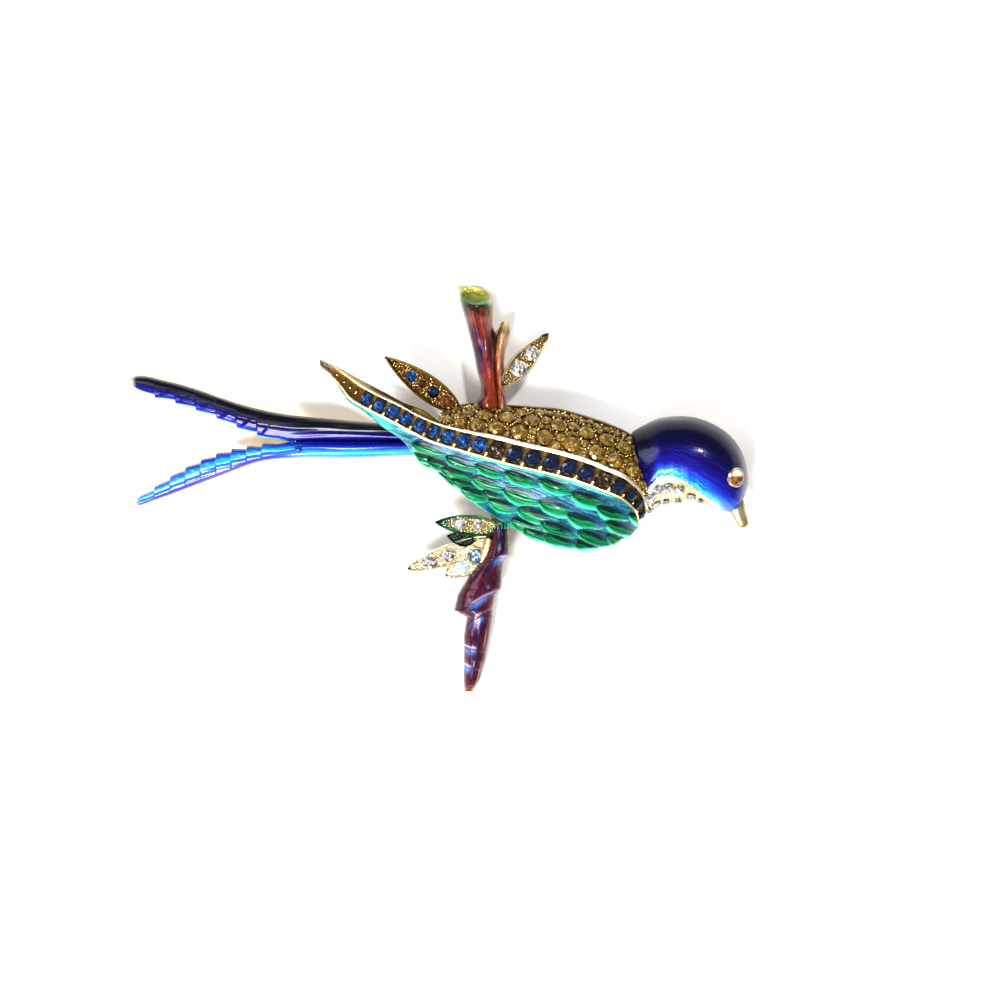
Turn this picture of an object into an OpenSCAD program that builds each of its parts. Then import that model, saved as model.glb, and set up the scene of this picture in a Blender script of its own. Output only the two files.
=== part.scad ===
// Figural animal brooch: an enamelled, stone-set bird on a branch, cast hollow-backed.
// Millimetres. The brooch lies on its back: +X towards the bird's head, +Y up the branch, +Z out of its face.
// The bird's own frame starts below the shoulder; "centre" then puts the whole on the middle of its outline.

/* [Whole brooch] */
// Height of the casting's rim above the surface that the brooch lies on
rim_z = 3; // [2.7:0.1:3.5]
// Thickness of the enamel layers
enamel_t = 0.35; // [0.25:0.05:0.45]
// Gap between a piece and what it is set in or laid on
fit = 0.08; // [0.06:0.01:0.1]
// Wall of the casting over its hollow back
wall = 1.5; // [1.3:0.1:1.8]

/* [Near wing] */
// Length of the wing from the shoulder to its tip
wing_l = 39.5; // [36:0.5:43]
// Height of the wing from its lowest feather to its tip
wing_h = 23.2; // [21:0.2:25]
// Height of the wing's crest above the rim
wing_z = 6; // [5:0.2:7]
// Thickness of the wing where it stands free
wing_t = 1.4; // [1.2:0.1:1.7]
// Width of each rim of the rail
rail_rim = 0.26; // [0.2:0.02:0.3]
// Length of one feather scale
feather_l = 4.9; // [4.2:0.1:5.6]
// Width of one feather scale
feather_w = 2.5; // [2.1:0.1:2.8]
// Height of a feather's tip above the enamel under it
feather_h = 0.7; // [0.5:0.05:0.9]

/* [Back and far wing] */
// Width of the stone-set back, from the rail to its outline
back_w = 5.86; // [5.2:0.1:6.6]
// Height of the back's outline above the rim
back_edge = 1.3; // [1:0.1:1.8]
// Length of the far wing's tip
far_wing_l = 11.4; // [10:0.2:12.8]
// Width of the far wing
far_wing_w = 3.1; // [2.8:0.1:3.4]

/* [Head] */
// Length of the head from the neck to the face
head_l = 14.6; // [13.4:0.2:15.8]
// Width of the head
head_w = 11.5; // [10.5:0.1:12.5]
// Height of the head's crown above the rim
head_z = 6.4; // [5.6:0.2:7.2]
// Length of the beak in front of the head
beak_l = 2.5; // [2.1:0.1:3]
// Width of the beak where it leaves the head
beak_w = 2.1; // [1.8:0.1:2.4]

/* [Tail] */
// Length of the forked tail from the wing's edge
tail_l = 34; // [31:0.5:37]
// Spread of the fork at its tips
tail_w = 16.35; // [15:0.2:18]
// Thickness of the tail at its root
tail_t = 2.3; // [2:0.1:2.6]
// Depth of the barbs along the fork's inner edges
barb_w = 0.42; // [0.3:0.02:0.5]

/* [Branch and twig] */
// Length of the upper branch
branch_l = 14.6; // [13:0.2:16]
// Thickness of the upper branch
branch_t = 3.4; // [3:0.1:3.8]
// Length of the lower twig
twig_l = 21; // [19:0.5:23]
// Thickness of the lower twig
twig_t = 2.8; // [2.5:0.1:3.1]

/* [Leaves] */
// Thickness of a leaf
leaf_t = 1.3; // [1.1:0.1:1.5]
// Height of a leaf's rim above its floor
leaf_rim = 0.25; // [0.15:0.05:0.3]
// Width of a leaf's rim
leaf_rim_w = 0.3; // [0.2:0.05:0.35]
// Length of the right leaf
right_leaf_l = 8.7; // [8:0.1:9.4]
// Width of the right leaf
right_leaf_w = 2.7; // [2.4:0.1:3]

/* [Stones] */
// Largest stone of the wing's row
wing_stone_d = 2.0; // [1.8:0.05:2.05]
// Stones on the back
back_stone_d = 2.3; // [2:0.05:2.4]
// Stones on the throat
throat_stone_d = 1.25; // [1.1:0.05:1.35]
// Largest stone of the far wing's tip
far_stone_d = 1.6; // [1.4:0.05:1.7]
// Largest stone of the right leaf
right_stone_d = 1.65; // [1.4:0.05:1.75]
// Largest stone of the lower leaves
lower_stone_d = 1.75; // [1.5:0.05:1.85]
// Eye stone
eye_d = 1.9; // [1.7:0.05:2.1]

/* [Pin] */
// Diameter of the pin stem
stem_d = 0.9; // [0.8:0.05:1]
// Length of the pin from its hinge to its catch
pin_l = 24; // [22:0.5:26]
// Width of the pin's bar
bar_w = 3.2; // [2.8:0.1:3.6]
// Thickness of the pin's bar
bar_t = 0.8; // [0.7:0.05:0.9]

/* [Hidden] */
// A stone's table, its height over the girdle and its depth under it, as shares of its diameter
TABLE = .56;
CROWN_H = .2;
PAVILION_H = .32;
WING_STONES = 20;
// Sizes of the wing's stones from the tip to the shoulder, as shares of the largest
WING_STONE_SHARE = [.73, .77, .79, .79, .77, .79, .84, .85, .9, 1, 1, 1, 1, .98, .97, .95, .9, .73, .6, .5];

// The near wing from its tip to the shoulder.
// Columns: upper edge x, y; rail middle x, y; feather edge x, y (shares of wing_l and wing_h);
// room for a stone (share of wing_stone_d); top height at the upper edge, the rail and the feather
// edge (shares of wing_z); how far the wing stands free of the body
WING = [
    [.998, 1.000, .995, .979, .991, .947, .12, .80, .84, .80, 1],
    [.957, .974, .963, .942, .966, .916, .25, .78, .90, .79, 1],
    [.907, .926, .920, .879, .935, .842, .50, .74, .93, .78, 1],
    [.855, .879, .883, .821, .907, .776, .74, .72, .94, .77, 1],
    [.796, .826, .827, .768, .858, .721, .81, .72, .95, .76, 1],
    [.735, .768, .765, .716, .802, .642, .83, .74, .96, .75, 1],
    [.673, .726, .707, .663, .744, .574, .82, .80, .97, .72, 1],
    [.620, .663, .642, .613, .685, .463, .87, .88, .98, .56, .6],
    [.543, .616, .565, .574, .617, .379, .92, .91, .99, .36, 0],
    [.451, .587, .475, .534, .537, .263, 1.02, .92, 1.0, .24, 0],
    [.367, .553, .389, .495, .444, .153, 1.03, .93, 1.0, .20, 0],
    [.272, .508, .293, .458, .349, .068, 1.02, .93, 1.0, .20, 0],
    [.173, .455, .198, .413, .241, .016, 1.0, .92, 1.0, .20, 0],
    [.099, .405, .127, .366, .142, .008, .98, .90, .98, .20, 0],
    [.031, .339, .068, .324, .062, .058, .94, .86, .94, .22, 0],
    [-.009, .263, .028, .266, .025, .105, .84, .72, .82, .26, 0],
    [-.006, .195, .012, .221, .012, .132, .68, .56, .66, .30, 0],
    [.003, .153, .008, .174, .009, .142, .54, .44, .50, .32, 0],
];
WING_LAST = len(WING) - 1;
// Feather rows. Columns: first tip x, y (shares of wing_l and wing_h), tips in the row, step in x, y
FEATHERS = [
    [.710, .547, 6, -.098, -.052],
    [.707, .500, 1, 0, 0],
    [.636, .400, 5, -.102, -.052],
    [.620, .426, 1, 0, 0],
    [.556, .321, 5, -.106, -.040],
    [.410, .163, 4, -.098, -.030],
    [.302, .089, 2, -.086, -.045],
];
FEATHER_TURN = -14;

// The back's outline against the wing's upper edge.
// Columns: place along the wing's table (row number), step from the upper edge x, y (shares of back_w)
BACK = [
    [6.9, -.04, .18],
    [7.6, -.12, .48],
    [8.3, -.06, .67],
    [9, .04, .71],
    [10, .08, .81],
    [11, .10, .93],
    [12, .08, .96],
    [13, .02, 1.00],
    [14, -.06, 1.07],
    [14.64, .10, .90],
];
// Rows of back stones. Columns: place across the back, first and last place along it, stones, size (share)
BACK_ROWS = [
    [.28, .14, .88, 9, .88],
    [.63, .27, .84, 7, .88],
    [.85, .52, .80, 6, .4],
];

// The head from the neck to the face.
// Columns: upper outline x, y; lower outline x, y (shares of head_l and head_w from the wing's corner);
// crown height (share of head_z); place across where the blue enamel ends
HEAD = [
    [-.150, .709, -.017, .000, .66, .80],
    [-.033, .794, .008, -.148, .80, .72],
    [.092, .868, .100, -.074, .91, .66],
    [.242, .894, .242, -.026, .98, .72],
    [.393, .884, .393, -.032, 1.0, .84],
    [.535, .825, .535, -.063, .97, .94],
    [.660, .730, .660, -.106, .87, .86],
    [.761, .593, .752, -.090, .68, .80],
    [.823, .423, .807, .021, .43, .78],
    [.850, .264, .846, .170, .18, .78],
];
HEAD_LAST = len(HEAD) - 1;
// Throat stones.
// Columns: place along the head's table (row number), distance below the blue (share of what is left), size
THROAT = [
    [1.2, .30, .92], [1.3, .78, .75], [1.77, .25, .95], [1.8, .72, .88], [2.45, .30, .95], [2.45, .8, .88],
    [3.12, .35, .95], [3.1, .85, .8], [3.78, .5, .92], [4.35, .62, .7],
];

// The tail's prongs from the root to the tip.
// Columns: distance from the root (share of tail_l), upper edge, lower edge (shares of tail_w)
TAIL_UPPER = [
    [-.15, .11, -.003], [0, .125, -.003], [.118, .142, -.003], [.272, .172, -.003], [.43, .205, .004],
    [.588, .28, .11], [.67, .336, .185], [.774, .41, .268], [.857, .455, .325], [.96, .495, .385],
    [1, .485, .43],
];
TAIL_LOWER = [
    [-.15, .004, -.10], [0, .004, -.112], [.19, .004, -.127], [.39, .002, -.127], [.505, -.04, -.149],
    [.663, -.105, -.261], [.817, -.25, -.381], [.91, -.37, -.45], [.96, -.415, -.485], [.985, -.45, -.492],
];
// Barbs on the inner edges. Columns: first and last place along the prong, number of barbs
UPPER_BARBS = [.45, .9, 6];
LOWER_BARBS = [.45, .9, 8];

// The upper branch and its side twig from the root up.
// Columns: height, left edge, right edge (shares of branch_l), top height (share of branch_t)
BRANCH = [
    [-.10, -.10, .10, .8], [0, -.12, .10, .95], [.06, -.07, .08, .97], [.12, -.067, .06, 1],
    [.30, -.104, .042, 1], [.475, -.142, .033, 1], [.742, -.212, .033, 1], [.83, -.237, .033, .95],
    [.93, -.262, .015, .62], [1, -.272, -.07, .4],
];
SIDE_TWIG = [
    [-.08, .110, .155, .55], [.04, .108, .150, .65], [.16, .066, .128, .78], [.28, .055, .126, .82],
    [.40, .052, .133, .85], [.54, .063, .164, .85], [.62, .075, .183, .8], [.69, .105, .165, .5],
];
// The lower twig from the wing down.
// Columns: distance down, left edge, right edge (shares of twig_l), top height (share of twig_t)
TWIG = [
    [-.10, -.064, .041, .25], [.005, -.055, .045, .28], [.04, -.052, .047, .8],
    [.12, -.067, .055, 1], [.20, -.093, .058, 1.05],
    [.227, -.107, .023, 1], [.32, -.183, .015, 1], [.39, -.227, .012, 1.05], [.43, -.250, -.023, .98],
    [.52, -.273, -.041, .95], [.54, -.233, -.041, .95], [.56, -.198, -.041, .95], [.68, -.215, -.058, .95],
    [.81, -.215, -.081, .9], [.93, -.215, -.116, .75], [1, -.209, -.157, .5],
];
// Lower leaves. Columns: place on the twig (share of twig_l down), tip x, y from the twig's root,
// width (shares of twig_l), height of the base and the tip above the rim in leaf thicknesses
LOWER_LEAVES = [
    [.04, -.378, -.006, .125, 1.7, 1.3],
    [.10, -.540, -.280, .130, .9, .5],
    [.12, -.318, -.322, .160, 1.2, .3],
];
// Stones on the leaves. Columns: leaf, place along it, place across it (share of its width), size (share)
LOWER_LEAF_STONES = [
    [0, .34, -.05, .62], [0, .62, -.05, .7], [1, .56, 0, .72],
    [1, .745, 0, .8], [2, .42, 0, 1], [2, .70, 0, .8],
];
RIGHT_LEAF_STONES = [[.37, -.04, 1], [.64, -.04, .86]];
FAR_WING_STONES = [[.20, 0, 1], [.37, 0, .98], [.515, 0, .72], [.655, .02, .88]];

// Turns of the leaves and of the far wing, counted from +X
RIGHT_LEAF_TURN = 49;
FAR_WING_TURN = 144;

function wing_stone_name(i) = str("wing_stone_", i < 10 ? "0" : "", i);

// General functions
function mix(a, b, t) = a + (b - a) * t;
function clamp(x, low, high) = min(max(x, low), high);
function unit(v) = v / norm(v);
function curve(p0, p1, p2, p3, t) =
    let (bend = 2 * p0 - 5 * p1 + 4 * p2 - p3, twist = 3 * p1 - p0 - 3 * p2 + p3)
    0.5 * (2 * p1 + (p2 - p0) * t + bend * t * t + twist * t * t * t);
// The rows of a table at place s, counted in rows, on a smooth curve or on straight lines
function row_at(rows, s) =
    let (last = len(rows) - 1, i = clamp(floor(s), 0, last - 1))
    curve(rows[max(i - 1, 0)], rows[i], rows[i + 1], rows[min(i + 2, last)], clamp(s - i, 0, 1));
// A table with a rising first column, read at a value of that column on straight lines
function column_at(rows, x, column) = lookup(x, [for (r = rows) [r[0], r[column]]]);
function cross2(a, b) = a[0] * b[1] - a[1] * b[0];
function sum(list) = len(list) == 0 ? 0 : list * [for (i = list) 1];
// Twice the area inside an outline, negative where it runs clockwise
function area2(p) = sum([for (i = [0:len(p) - 1]) cross2(p[i], p[(i + 1) % len(p)])]);
function flat(lists) = [for (l = lists) for (p = l) p];

// A closed solid between an upper and a lower grid of points.
// Both have as many rows, and the lower may have fewer columns. The ends are fans then, and strips otherwise
module between(top, low) {
    n = len(top);
    m = len(top[0]);
    k = len(low[0]);
    far = n * m;
    upper = [for (i = [0:n - 2]) for (j = [0:m - 2])
        each let (a = i * m + j, b = a + m) [[a, b, b + 1], [a, b + 1, a + 1]]];
    under = [for (i = [0:n - 2]) for (j = [0:k - 2])
        each let (a = far + i * k + j, b = a + k) [[a, b + 1, b], [a, a + 1, b + 1]]];
    walls = [for (i = [0:n - 2])
        each let (a = i * m, b = a + m, c = far + i * k, d = c + k)
            [[a, d, b], [a, c, d], [a + m - 1, b + m - 1, d + k - 1], [a + m - 1, d + k - 1, c + k - 1]]];
    first = concat([for (j = [0:m - 1]) j], [for (j = [k - 1:-1:1]) far + j]);
    low_end = [for (j = [1:k - 1]) far + (n - 1) * k + j];
    last = concat(low_end, [for (j = [m - 1:-1:0]) (n - 1) * m + j]);
    fans = [for (cap = [[far, first], [far + (n - 1) * k, last]]) for (q = [0:len(cap[1]) - 2])
        [cap[0], cap[1][q], cap[1][q + 1]]];
    first_strip = [for (j = [0:m - 2]) each let (c = far + j) [[c, j, j + 1], [c, j + 1, c + 1]]];
    last_strip = [for (j = [0:m - 2])
        each let (a = (n - 1) * m + j, c = far + (n - 1) * k + j) [[c, a + 1, a], [c, c + 1, a + 1]]];
    caps = m == k ? concat(first_strip, last_strip) : fans;
    faces = concat(upper, under, walls, caps);
    outline = concat([for (i = [0:n - 1]) top[i][0]], [for (i = [n - 1:-1:0]) top[i][m - 1]]);
    outward = area2(outline) > 0 ? [for (f = faces) [f[0], f[2], f[1]]] : faces;
    polyhedron(points = concat(flat(top), flat(low)), faces = outward);
}

// The near wing
function wing_xy(x, y) = [-x * wing_l, y * wing_h];
function wing_row(s) = row_at(WING, s);
function wing_edge(s) = let (r = wing_row(s)) wing_xy(r[0], r[1]);
function wing_rail(s) = let (r = wing_row(s)) wing_xy(r[2], r[3]);
function wing_hem(s) = let (r = wing_row(s)) wing_xy(r[4], r[5]);
function rail_top(s) = rim_z + wing_row(s)[8] * wing_z;
function hem_top(s) = rim_z + wing_row(s)[9] * wing_z - enamel_t - fit;
// Points of the rail across the wing, from its outer rim to its inner rim
function rail_dir(s) = unit(wing_edge(s) - wing_hem(s));
function rail_half(s) = wing_row(s)[6] * wing_stone_d / 2 + fit + rail_rim;
// The channel is as deep as the stones under their girdles
rail_depth = PAVILION_H * wing_stone_d + fit;
function rail_point(s, across, z) =
    let (p = wing_rail(s) + rail_dir(s) * across) [p[0], p[1], z];
// The feathered slope at place v from the rail (0) to the feather edge (1), raised by lift.
// It bulges by a share of its width
SLOPE_BULGE = .13;
SLOPE_V = [.06, .29, .52, .75, .97];
function slope(s, v, lift) =
    let (a = rail_point(s, -rail_half(s), rail_top(s) - enamel_t - fit), h = wing_hem(s),
         b = [h[0], h[1], hem_top(s)], bulge = SLOPE_BULGE * norm(b - a) * sin(180 * v))
    mix(a, b, v) + [0, 0, bulge + lift];
// Across the wing: its upper edge, the rail's outer rim, the channel, the inner rim and the slope
function wing_section(s) =
    let (h = rail_half(s), z = rail_top(s), r = wing_row(s), depth = rail_depth * clamp(r[6] / .7, 0, 1),
         e = max(norm(wing_edge(s) - wing_rail(s)), h + fit))
    concat(
        [rail_point(s, e, rim_z + r[7] * wing_z), rail_point(s, h, z)],
        [rail_point(s, h - rail_rim, z - depth), rail_point(s, rail_rim - h, z - depth)],
        [rail_point(s, -h, z)],
        [for (v = SLOPE_V) slope(s, v, 0)],
        [slope(s, 1, 0)]
    );
// The underside is level where the wing stands free and hollow over the body, between two rows of the table
HOLLOW_FROM = 8.4;
HOLLOW_TO = 14;
function hollow_share(s) = clamp(s - HOLLOW_FROM, 0, 1) * clamp(HOLLOW_TO - s, 0, 1);
// Columns of the section that the underside follows, each with its share of the hollow
UNDER = [[0, 0], [2, .8], [4, 1], [6, 1], [8, .7], [10, 0]];
function wing_underside(s) =
    let (top = wing_section(s), z = mix(rim_z, hem_top(s) - wing_t, clamp(wing_row(s)[10], 0, 1)))
    [for (u = UNDER) let (p = top[u[0]])
        [p[0], p[1], z + max(p[2] - z - wall, 0) * u[1] * hollow_share(s)]];
WING_STEPS = 2 * WING_LAST;
function wing_places() = [for (i = [0:WING_STEPS]) i * WING_LAST / WING_STEPS];
module wing_metal() {
    between([for (s = wing_places()) wing_section(s)], [for (s = wing_places()) wing_underside(s)]);
}

// Feather scales: each is highest at its tip and sinks towards its root
FEATHER_TIPS = [for (r = FEATHERS) for (k = [0:r[2] - 1]) wing_xy(r[0] + k * r[3], r[1] + k * r[4])];
function turned(p, a) = [p[0] * cos(a) + p[1] * sin(a), p[1] * cos(a) - p[0] * sin(a)];
function scale_height(q) =
    let (s = clamp(q[0] / feather_l, 0, 1), w = feather_w / 2 * sqrt(sin(180 * pow(s, .6))))
    s <= 0 || s >= 1 || abs(q[1]) >= w ? 0 : (1 - .75 * s) * (1 - pow(q[1] / w, 2) * .8);
function relief(p) = max([for (t = FEATHER_TIPS) scale_height(turned(p - t, FEATHER_TURN))]);
SLOPE_COLUMNS = 14;
FEATHERS_FROM = 2.75;
FEATHERS_TO = WING_LAST - 1.85;
FEATHER_STEPS = 56;
function feather_places() = [for (i = [0:FEATHER_STEPS]) mix(FEATHERS_FROM, FEATHERS_TO, i / FEATHER_STEPS)];
// The relief fades out at the enamel's long edges
function enamel_top(s) = [for (j = [0:SLOPE_COLUMNS])
    let (k = j / SLOPE_COLUMNS, p = slope(s, mix(SLOPE_V[0], SLOPE_V[4], k), fit + enamel_t))
    p + [0, 0, feather_h * relief([p[0], p[1]]) * min(1, 4 * sin(180 * k))]];
module wing_enamel() {
    color("seagreen")
    translate(centre)
    between(
        [for (s = feather_places()) enamel_top(s)],
        [for (s = feather_places()) [for (v = SLOPE_V) slope(s, v, fit)]]
    );
}

// The back
BACK_LAST = len(BACK) - 1;
function back_low(s) = wing_edge(row_at(BACK, s)[0]);
function back_edge_at(s) = let (r = row_at(BACK, s)) back_low(s) + [r[1], r[2]] * back_w;
// The back at place v from the wing's edge (0) to the outline (1), raised by lift
function back_point(s, v, lift) =
    let (r = wing_row(row_at(BACK, s)[0]), high = rim_z + r[7] * wing_z, low = rim_z + back_edge,
         p = mix(back_low(s), back_edge_at(s), v))
    [p[0], p[1], low + (high - low) * pow(cos(90 * clamp(v, 0, 1)), .8) + lift];
BACK_STEPS = 14;
BACK_V = [-.12, .1, .3, .5, .7, .86, .975, 1];
// The stones of the back stand in a floor that lies deeper than they do, because it slants
BACK_SLANT = 1.22;
back_depth = BACK_SLANT * PAVILION_H * back_stone_d + fit;
function back_floor(v) = v > 0 && v < 1 ? -back_depth : 0;
// Places across the back that its underside follows, each with its share of the hollow
BACK_UNDER = [[-.12, 0], [.1, 1], [.4, 1], [.7, .9], [.86, 0], [1, 0]];
function back_places() = [for (i = [0:BACK_STEPS]) i * BACK_LAST / BACK_STEPS];
function back_hollow(s) = clamp((s - 2.5) / 1.2, 0, 1) * clamp(8.2 - s, 0, 1);
BACK_WALL = .7;
module back_metal() {
    between(
        [for (s = back_places()) [for (v = BACK_V) back_point(s, v, back_floor(v))]],
        [for (s = back_places()) [for (u = BACK_UNDER)
            let (p = back_point(s, u[0], -back_depth), room = max(p[2] - rim_z - wall * BACK_WALL, 0))
            [p[0], p[1], rim_z + BACK_STEP + room * u[1] * back_hollow(s)]]]
    );
}

// The head: sections across a dome, whose skin is the enamel
neck = wing_edge(15);
HEAD_FOOT = .08;
function head_row(s) = row_at(HEAD, s);
// The head's surface at place s and angle a across it, grown by a distance
function head_point(s, a, grow) =
    let (r = head_row(s), t = neck + [r[0] * head_l, r[1] * head_w],
         b = neck + [r[2] * head_l, r[3] * head_w],
         d = unit(t - b) * grow, p = mix(t + d, b - d, (1 - cos(a)) / 2))
    [p[0], p[1], rim_z + HEAD_FOOT * head_z + ((r[4] - HEAD_FOOT) * head_z + grow) * sin(a)];
HEAD_STEPS = 18;
ENAMEL_FROM = 1.2;
function head_places(from) = [for (i = [0:HEAD_STEPS]) let (s = HEAD_LAST * i / HEAD_STEPS) if (s >= from) s];
function angles(from, to, n) = [for (j = [0:n]) mix(from, to, j / n)];
skin = enamel_t + fit;
// The head is hollow from a row of its table on, to a share of the room over its wall
HEAD_HOLLOW_FROM = 1.8;
HEAD_HOLLOW = .8;
function head_hollow(s) = HEAD_HOLLOW * clamp(s - HEAD_HOLLOW_FROM, 0, 1);
module head_metal() {
    between(
        [for (s = head_places(0)) [for (a = angles(0, 180, 16)) head_point(s, a, -skin - fit / 2)]],
        [for (s = head_places(0)) [for (a = angles(0, 180, 4))
            let (p = head_point(s, a, -skin), room = max(head_row(s)[4] * head_z - 2 * wall, 0))
            [p[0], p[1], rim_z + HEAD_STEP + head_hollow(s) * room * pow(sin(a), 2)]]]
    );
}
function blue_end(s) = acos(1 - 2 * head_row(s)[5]);
function upward(n) = n[2] < 0 ? -n : n;
// The normal of the head's surface
function head_normal(s, a) =
    let (along = head_point(s + .1, a, 0) - head_point(s - .1, a, 0),
         across = head_point(s, a + 4, 0) - head_point(s, a - 4, 0))
    upward(unit(cross(along, across)));
// The eye's place along the head's table and its angle across
EYE_PLACE = [6.75, 100];
bezel_d = eye_d + 0.5;
bezel_h = 0.25;
BEZEL_FOOT = 1.2;
EYE_LIFT = .8;
function eye_frame() = [head_point(EYE_PLACE[0], EYE_PLACE[1], 0), head_normal(EYE_PLACE[0], EYE_PLACE[1])];
module head_enamel() {
    places = head_places(ENAMEL_FROM);
    color("midnightblue")
    translate(centre)
    difference() {
        between(
            [for (s = places) [for (a = angles(4, blue_end(s), 10)) head_point(s, a, 0)]],
            [for (s = places) [for (a = angles(4, blue_end(s), 10)) head_point(s, a, -enamel_t)]]
        );
        on_frame(eye_frame())
        cylinder(d = bezel_d + 2 * fit, h = 4 * enamel_t, center = true, $fn = 12);
    }
}

// The beak: its lower and its upper half, each from the face down to a tip.
// Columns: height of the root and of the tip above the rim, width at the root (shares of beak_w),
// length (share of beak_l), step to the side at the tip (share of beak_w)
BEAK_TURN = -62;
BEAK = [[.48, .22, .8, .8, -.024], [.72, .38, 1, 1, .024]];
BEAK_TIP = .26;
beak_root = neck + [.775 * head_l, -.02 * head_w];
module beak_metal() {
    for (b = BEAK)
        translate([beak_root[0], beak_root[1], rim_z])
        rotate([0, 0, BEAK_TURN])
        hull() {
            translate([0, 0, b[0] * beak_w])
            scale([.9, 1, .7])
            sphere(d = beak_w * b[2], $fn = 8);
            translate([beak_l * b[3], b[4] * beak_w, b[1] * beak_w])
            sphere(d = BEAK_TIP * beak_w, $fn = 6);
        }
}

// The tail: each prong is a roofed blade that bends back to the surface at its tip
tail_root = wing_hem(6);
// The rim's height along the tail, a branch or the twig: their ends come down to the surface.
// At the root it may lap under the body's rim
function sink(x, lap = 0) = (rim_z - lap) * (1 - pow(clamp(x, 0, 1), 2));
// How far each part's underside lies from the wing's, so that none of them share a plane
BACK_STEP = .05;
HEAD_STEP = .1;
PRONG_LAPS = [.06, .1];
BRANCH_LAP = .08;
SIDE_TWIG_LAP = .14;
TWIG_LAP = .06;
function tail_thick(x) = tail_t * mix(1, .62, clamp(x, 0, 1));
// The depth of the barbs at a place along the prong: a saw's teeth
function barb(x, barbs) =
    let (k = (x - barbs[0]) / (barbs[1] - barbs[0]) * barbs[2])
    x < barbs[0] || x > barbs[1] ? 0 : (k - floor(k)) * barb_w;
function barb_places(barbs) =
    [for (k = [0:barbs[2] - 1]) for (e = [.02, .98]) mix(barbs[0], barbs[1], (k + e) / barbs[2])];
function prong_places(barbs, end) =
    concat([-.15, -.08, 0, .1, .2, .3, .4], barb_places(barbs), [.93, end]);
// A prong's height across it, from its upper edge to its lower edge, and the share of it that its edges keep
ROOF = [[0, 0], [.12, .45], [.42, 1], [.7, .62], [.9, .35], [1, 0]];
ROOF_EDGE = .5;
function prong_section(rows, barbs, inner, x, from, to, drop) =
    let (top = column_at(rows, x, 1) * tail_w + (inner > 0 ? barb(x, barbs) : 0),
         low = column_at(rows, x, 2) * tail_w - (inner < 0 ? barb(x, barbs) : 0))
    [for (r = ROOF) let (v = mix(from, to, r[0]), h = tail_thick(x) * mix(ROOF_EDGE, 1, lookup(v, ROOF)))
        [tail_root[0] - x * tail_l, tail_root[1] + mix(top, low, v), sink(x) + h - drop]];
function prong_floor(section, x, lap) =
    [for (p = [section[0], section[len(ROOF) - 1]]) [p[0], p[1], sink(x, lap)]];
module prong_metal(rows, barbs, inner, end) {
    places = prong_places(barbs, end);
    lap = PRONG_LAPS[inner > 0 ? 1 : 0];
    between(
        [for (x = places) prong_section(rows, barbs, inner, x, 0, 1, skin)],
        [for (x = places) prong_floor(prong_section(rows, barbs, inner, x, 0, 1, skin), x, lap)]
    );
}
module prong_enamel(rows, barbs, inner, end) {
    places = [for (x = prong_places(barbs, end)) if (x >= 0 && x < end - .01) x];
    between(
        [for (x = places) prong_section(rows, barbs, inner, x, .07, .93, 0)],
        [for (x = places) prong_section(rows, barbs, inner, x, .07, .93, enamel_t)]
    );
}
module tail_enamel_upper() {
    color("navy") translate(centre) prong_enamel(TAIL_UPPER, UPPER_BARBS, -1, 1);
}
module tail_enamel_lower() {
    color("royalblue") translate(centre) prong_enamel(TAIL_LOWER, LOWER_BARBS, 1, .985);
}

// Stems: half-round relief strips along a table, that bend back to the surface at their ends
branch_root = back_edge_at(2.6);
twig_root = wing_hem(10);
STEM_EDGE = .4;
STEM_STEPS = 8;
STEP_ANGLE = 180 / STEM_STEPS;
// A section of a stem, from one step of its arc to another
function stem_section(rows, root, length, thick, way, x, from, to, drop) =
    let (a = column_at(rows, x, 1) * length, b = column_at(rows, x, 2) * length,
         h = column_at(rows, x, 3) * thick)
    [for (k = [from:to]) let (q = k * STEP_ANGLE, z = sink(x) + STEM_EDGE + (h - STEM_EDGE) * sin(q) - drop)
        [root[0] + mix(a, b, (1 - cos(q)) / 2), root[1] + way * x * length, z]];
function stem_places(rows) = [for (r = rows) r[0]];
module stem_metal(rows, root, length, thick, way, lap) {
    sections = [for (x = stem_places(rows))
        stem_section(rows, root, length, thick, way, x, 0, STEM_STEPS, skin / 2)];
    between(
        sections,
        [for (i = [0:len(sections) - 1])
            [for (p = [sections[i][0], sections[i][STEM_STEPS]]) [p[0], p[1], sink(rows[i][0], lap)]]]
    );
}
module stem_enamel(rows, root, length, thick, way, from, to) {
    places = [for (x = stem_places(rows)) if (x >= from && x <= to) x];
    between(
        [for (x = places) stem_section(rows, root, length, thick, way, x, 1, STEM_STEPS - 1, -skin / 2)],
        [for (x = places) stem_section(rows, root, length, thick, way, x, 1, STEM_STEPS - 1, skin / 2 - fit)]
    );
}
module branch_enamel() {
    color("maroon") translate(centre) stem_enamel(BRANCH, branch_root, branch_l, branch_t, 1, .06, .83);
}
module side_twig_enamel() {
    color("firebrick") translate(centre) stem_enamel(SIDE_TWIG, branch_root, branch_l, branch_t, 1, .28, .62);
}
module twig_enamel() {
    color("darkred") translate(centre) stem_enamel(TWIG, twig_root, twig_l, twig_t, -1, .2, .93);
}

// Leaves: blades with a raised rim, from a base to a tip
function leaf_width(s) = pow(sin(180 * pow(clamp(s, 0, 1), .8)), .75);
LEAF_STEPS = 7;
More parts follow.
